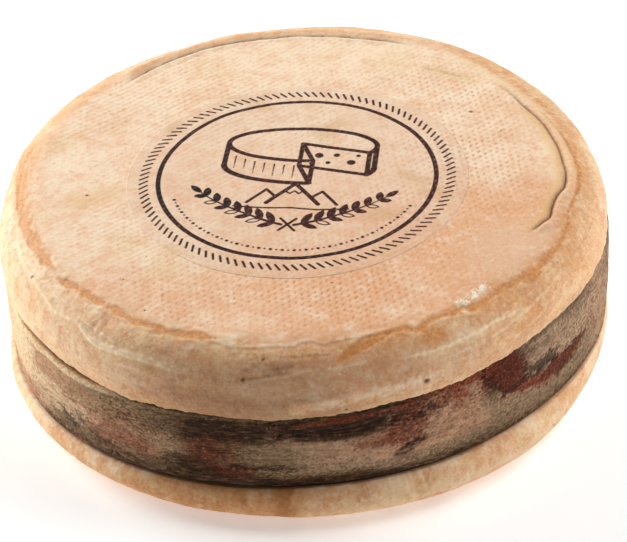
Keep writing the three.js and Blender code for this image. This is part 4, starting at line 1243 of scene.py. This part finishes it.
def rind_material():
    n = Nodes("washed_rind")
    c, small, grain, pit = rind_colour(n)
    fine = n.noise(n.pos, 900, 3, 0.6)
    wild = n.attr("wild")
    c = n.mix(n.math("MULTIPLY", wild, 0.9), c, (1.0, 0.92, 0.78, 1.0), "MULTIPLY")
    crumb = n.noise(n.vmap(n.pos, (1, 1, 1), (0.5, 0.2, 0.9)), 1250, 4, 0.7)
    c = n.mix(n.math("MULTIPLY", wild, n.ramp(crumb, 0.5, 0.66, 0.0, 0.6)), c, srgb(196, 138, 92))
    c = n.mix(n.math("MULTIPLY", wild, n.ramp(crumb, 0.46, 0.32, 0.0, 0.6)), c, srgb(254, 234, 198))
    c = n.mix(n.math("MULTIPLY", n.attr("dust"), n.ramp(fine, 0.3, 0.6, 0.35, 0.8)), c, srgb(232, 214, 186))
    c = n.mix(n.math("MULTIPLY", n.attr("yellow"), 0.75), c, srgb(226, 184, 122))
    c = n.mix(n.math("MULTIPLY", n.attr("brown"), n.ramp(fine, 0.25, 0.7, 1.0, 0.6)), c, srgb(168, 108, 78))
    orange = n.attr("orange")
    rust = n.mix(n.ramp(fine, 0.35, 0.68), srgb(230, 158, 82), srgb(198, 120, 54))
    c = n.mix(n.math("MULTIPLY", orange, n.ramp(small, 0.2, 0.6, 0.95, 0.75)), c, rust)
    c = n.mix(n.math("MULTIPLY", n.attr("cream"), n.ramp(small, 0.2, 0.7, 1.0, 0.7)), c, n.mix(wild, srgb(253, 230, 194), srgb(248, 212, 160)))
    c = n.mix(n.math("MULTIPLY", n.attr("pale"), n.ramp(small, 0.2, 0.65, 1.0, 0.72)), c, n.mix(n.ramp(n.attr("dust"), 0.6, 1.0), srgb(255, 230, 194), srgb(255, 248, 230)))
    c = n.mix(n.attr("shade"), c, (0.5, 0.44, 0.39, 1.0), "MULTIPLY")
    c = n.mix(n.attr("dark"), c, srgb(66, 44, 28))
    flecks = n.voronoi(n.pos, 95, "F1", 1.0)
    keep = n.noise(n.pos, 47, 2, 0.5)
    spot = n.math("MULTIPLY", n.ramp(flecks, 0.055, 0.03), n.ramp(keep, 0.56, 0.64))
    c = n.mix(n.math("MULTIPLY", spot, 0.8), c, srgb(110, 76, 48))
    n.link(c, n.b.inputs["Base Color"])
    n.link(n.ramp(small, 0.3, 0.7, 0.52, 0.72), n.b.inputs["Roughness"])
    n.b.inputs["Specular IOR Level"].default_value = 0.35
    h = n.math("ADD", n.math("MULTIPLY", grain, 0.35), n.math("MULTIPLY", small, 0.65))
    n.link(n.bump(h, 0.00045, 0.55), n.b.inputs["Normal"])
    return n.mat


def label_material():
    n = Nodes("printed_label")
    c, small, grain, pit = rind_colour(n)
    c = n.mix(0.34, c, srgb(224, 190, 164))
    fibre = n.noise(n.vmap(n.pos, (1, 3.5, 1)), 900, 3, 0.6)
    c = n.mix(n.ramp(fibre, 0.5, 0.75, 0.0, 0.18), c, srgb(238, 214, 190))
    stain = n.noise(n.vmap(n.pos, (1, 1, 1), (0.7, 0.4, 0)), 60, 3, 0.55)
    c = n.mix(n.ramp(stain, 0.55, 0.72, 0.0, 0.4), c, srgb(206, 166, 112))
    # Painted light: the label's rim, underside and outermost band lightened so the shade along its edge shows less.
    c = n.mix(n.ramp(n.attr("rim"), 0.15, 1.0, 0.0, 0.6), c, srgb(236, 204, 172))
    ink = n.attr("ink")
    edge = n.math("ADD", ink, n.math("MULTIPLY", n.math("SUBTRACT", fibre, 0.5), 0.34))
    cover = n.ramp(edge, 0.16, -0.16)
    worn = n.math("SUBTRACT", 1.0, n.math("MULTIPLY", pit, 0.22))
    cover = n.math("MULTIPLY", cover, n.math("MULTIPLY", worn, n.ramp(small, 0.25, 0.42, 0.9, 1.0)))
    inkc = n.mix(n.ramp(n.noise(n.pos, 22, 2, 0.5), 0.42, 0.6), srgb(62, 26, 22), srgb(30, 17, 18))
    c = n.mix(cover, c, inkc)
    n.link(c, n.b.inputs["Base Color"])
    n.link(n.ramp(cover, 0.0, 1.0, 0.6, 0.42), n.b.inputs["Roughness"])
    n.b.inputs["Specular IOR Level"].default_value = 0.35
    h = n.math("ADD", n.math("MULTIPLY", fibre, 0.5), n.math("MULTIPLY", small, 0.5))
    n.link(n.bump(h, 0.0003, 0.5), n.b.inputs["Normal"])
    return n.mat


def bark_material():
    n = Nodes("spruce_bark")
    uv = n.attr("bark", True)
    long = n.noise(n.vmap(uv, (110, 1300, 1)), 1.0, 4, 0.65, 0.4)
    fine = n.noise(n.vmap(uv, (620, 1500, 1)), 1.0, 3, 0.65)
    grit = n.noise(n.pos, 900, 4, 0.75)
    grit2 = n.noise(n.vmap(n.pos, (1, 1, 1), (0.2, 0.5, 0.1)), 760, 3, 0.65)
    blot = n.noise(n.vmap(uv, (150, 260, 1)), 1.0, 4, 0.62, 0.5)
    c = n.mix(n.ramp(long, 0.38, 0.62), srgb(58, 36, 22), srgb(116, 80, 54))
    c = n.mix(n.ramp(blot, 0.5, 0.66, 0.0, 0.55), c, srgb(134, 98, 70))
    k = lambda name, lo=0.6, hi=1.0, tex=None: n.math("MULTIPLY", n.attr(name), n.ramp(tex or fine, 0.36, 0.6, lo, hi))
    c = n.mix(k("tan"), c, n.mix(n.ramp(grit2, 0.36, 0.62), srgb(184, 136, 98), srgb(222, 178, 136)))
    c = n.mix(k("grey", 0.5, 1.0), c, n.mix(n.ramp(fine, 0.38, 0.62), srgb(112, 88, 60), srgb(174, 144, 105)))
    c = n.mix(k("beige", 0.45, 1.0, grit), c, n.mix(n.ramp(grit2, 0.38, 0.62), srgb(166, 132, 103), srgb(216, 180, 147)))
    c = n.mix(k("pink", 0.6, 1.0), c, n.mix(n.ramp(blot, 0.4, 0.6), srgb(190, 139, 108), srgb(219, 172, 137)))
    c = n.mix(k("red", 0.72, 1.0, grit2), c, n.mix(n.ramp(fine, 0.38, 0.64), srgb(88, 27, 11), srgb(170, 64, 34)))
    c = n.mix(k("cream", 0.4, 1.0, grit), c, n.mix(n.ramp(grit2, 0.38, 0.64), srgb(234, 200, 152), srgb(252, 234, 196)))
    c = n.mix(k("black", 0.74, 1.0, grit2), c, n.mix(n.ramp(grit, 0.42, 0.7), srgb(22, 11, 5), srgb(60, 36, 16)))
    crack = n.ramp(n.attr("fibre"), 0.42, 0.72, 0.0, 0.5)
    c = n.mix(crack, c, srgb(48, 29, 17))
    dots = n.math("MULTIPLY", n.ramp(grit, 0.53, 0.6), n.attr("grain"))
    c = n.mix(n.math("MULTIPLY", dots, 0.8), c, srgb(42, 26, 15))
    pale = n.math("MULTIPLY", n.ramp(grit, 0.44, 0.34), n.ramp(grit2, 0.4, 0.6, 0.2, 1.0))
    pale = n.math("MULTIPLY", pale, n.ramp(n.attr("black"), 0.2, 0.7, 1.0, 0.12))
    c = n.mix(n.math("MULTIPLY", pale, 0.44), c, srgb(206, 170, 132))
    c = n.mix(n.math("MULTIPLY", n.attr("cut"), 0.5), c, srgb(150, 112, 78))
    n.link(c, n.b.inputs["Base Color"])
    n.link(n.ramp(fine, 0.3, 0.7, 0.74, 0.94), n.b.inputs["Roughness"])
    n.b.inputs["Specular IOR Level"].default_value = 0.16
    h = n.math("ADD", n.math("MULTIPLY", long, 0.4), n.math("ADD", n.math("MULTIPLY", fine, 0.3), n.math("MULTIPLY", grit, 0.5)))
    n.link(n.bump(h, 0.0008, 0.75), n.b.inputs["Normal"])
    return n.mat


def floor_material():
    n = Nodes("studio_floor")
    n.b.inputs["Base Color"].default_value = (0.93, 0.93, 0.92, 1)
    # A lit studio table: a little light of its own keeps it pale right up to the object.
    n.b.inputs["Emission Color"].default_value = (1, 1, 1, 1)
    n.b.inputs["Emission Strength"].default_value = 0.35
    n.b.inputs["Roughness"].default_value = 0.9
    n.b.inputs["Specular IOR Level"].default_value = 0.1
    return n.mat


# ---- camera ----
def make_camera():
    elevation, roll, distance, focal = math.radians(36.35), math.radians(-3.21), 760.0, 2173.0
    target = np.array([2.14, 0.98, 23.5])
    eye = target + distance * np.array([0, -math.cos(elevation), math.sin(elevation)])
    right = np.array([1.0, 0, 0])
    up = np.array([0, math.sin(elevation), math.cos(elevation)])
    x = math.cos(roll) * right + math.sin(roll) * up
    y = -math.sin(roll) * right + math.cos(roll) * up
    z = np.cross(x, y)
    from mathutils import Matrix

    cam = bpy.data.cameras.new("camera")
    cam.sensor_fit = "HORIZONTAL"
    cam.sensor_width = 36.0
    cam.lens = focal * 36.0 / 627.0
    cam.clip_start = 0.01
    cam.clip_end = 50
    ob = bpy.data.objects.new("camera", cam)
    ob.matrix_world = Matrix([[*m] for m in np.column_stack([np.vstack([x, y, z]).T, eye * MM])] + [[0, 0, 0, 1]])
    bpy.context.scene.collection.objects.link(ob)
    bpy.context.scene.camera = ob
    return ob


def area(name, at, aim, size, power, colour=(1, 1, 1)):
    from mathutils import Vector

    light = bpy.data.lights.new(name, "AREA")
    light.shape = "RECTANGLE"
    light.size, light.size_y = size
    light.energy = power
    light.color = colour
    ob = bpy.data.objects.new(name, light)
    ob.location = at
    ob.rotation_euler = (Vector(aim) - Vector(at)).to_track_quat("-Z", "Y").to_euler()
    bpy.context.scene.collection.objects.link(ob)
    return ob


make_camera()
cheese = make_cheese()
label = make_label()
strap = make_strap()
for ob, mat, node, slot in (
    (cheese, rind_material(), "cheese_wheel", "rind"),
    (label, label_material(), "paper_label", "label"),
    (strap, bark_material(), "spruce_bark_strap", "bark"),
):
    ob.data.materials.append(mat)
    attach(ob, "root")
    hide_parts(node)

# ---- floor and light ----
s = 3.0
floor_mesh = bpy.data.meshes.new("floor")
floor_mesh.from_pydata([(-s, -s, 0), (s, -s, 0), (s, s, 0), (-s, s, 0)], [], [(0, 1, 2, 3)])
floor = bpy.data.objects.new("floor", floor_mesh)
floor.location.z = -0.0002
bpy.context.scene.collection.objects.link(floor)
floor.data.materials.append(floor_material())

area("back_left", (-0.95, 0.6, 0.5), (0, 0, 0.03), (0.8, 0.8), 18.2)
area("low_left", (-1.1, -0.2, 0.35), (0, 0, 0.03), (0.7, 0.6), 2.4)
area("high_right", (0.8, 0.1, 0.95), (0, 0, 0.03), (0.8, 0.8), 10.6)
area("low_right", (1.1, -0.05, 0.35), (0, 0, 0.03), (0.7, 0.6), 3.0)
area("low_back", (0.0, 1.2, 0.45), (0, 0, 0.03), (1.2, 0.6), 0.9)

world = bpy.data.worlds.new("studio")
world.use_nodes = True
world.node_tree.nodes["Background"].inputs[0].default_value = (1, 1, 1, 1)
world.node_tree.nodes["Background"].inputs[1].default_value = 0.02
bpy.context.scene.world = world
bpy.context.scene.view_settings.view_transform = "Standard"
bpy.context.scene.view_settings.look = "None"
bpy.context.scene.view_settings.exposure = 0.0
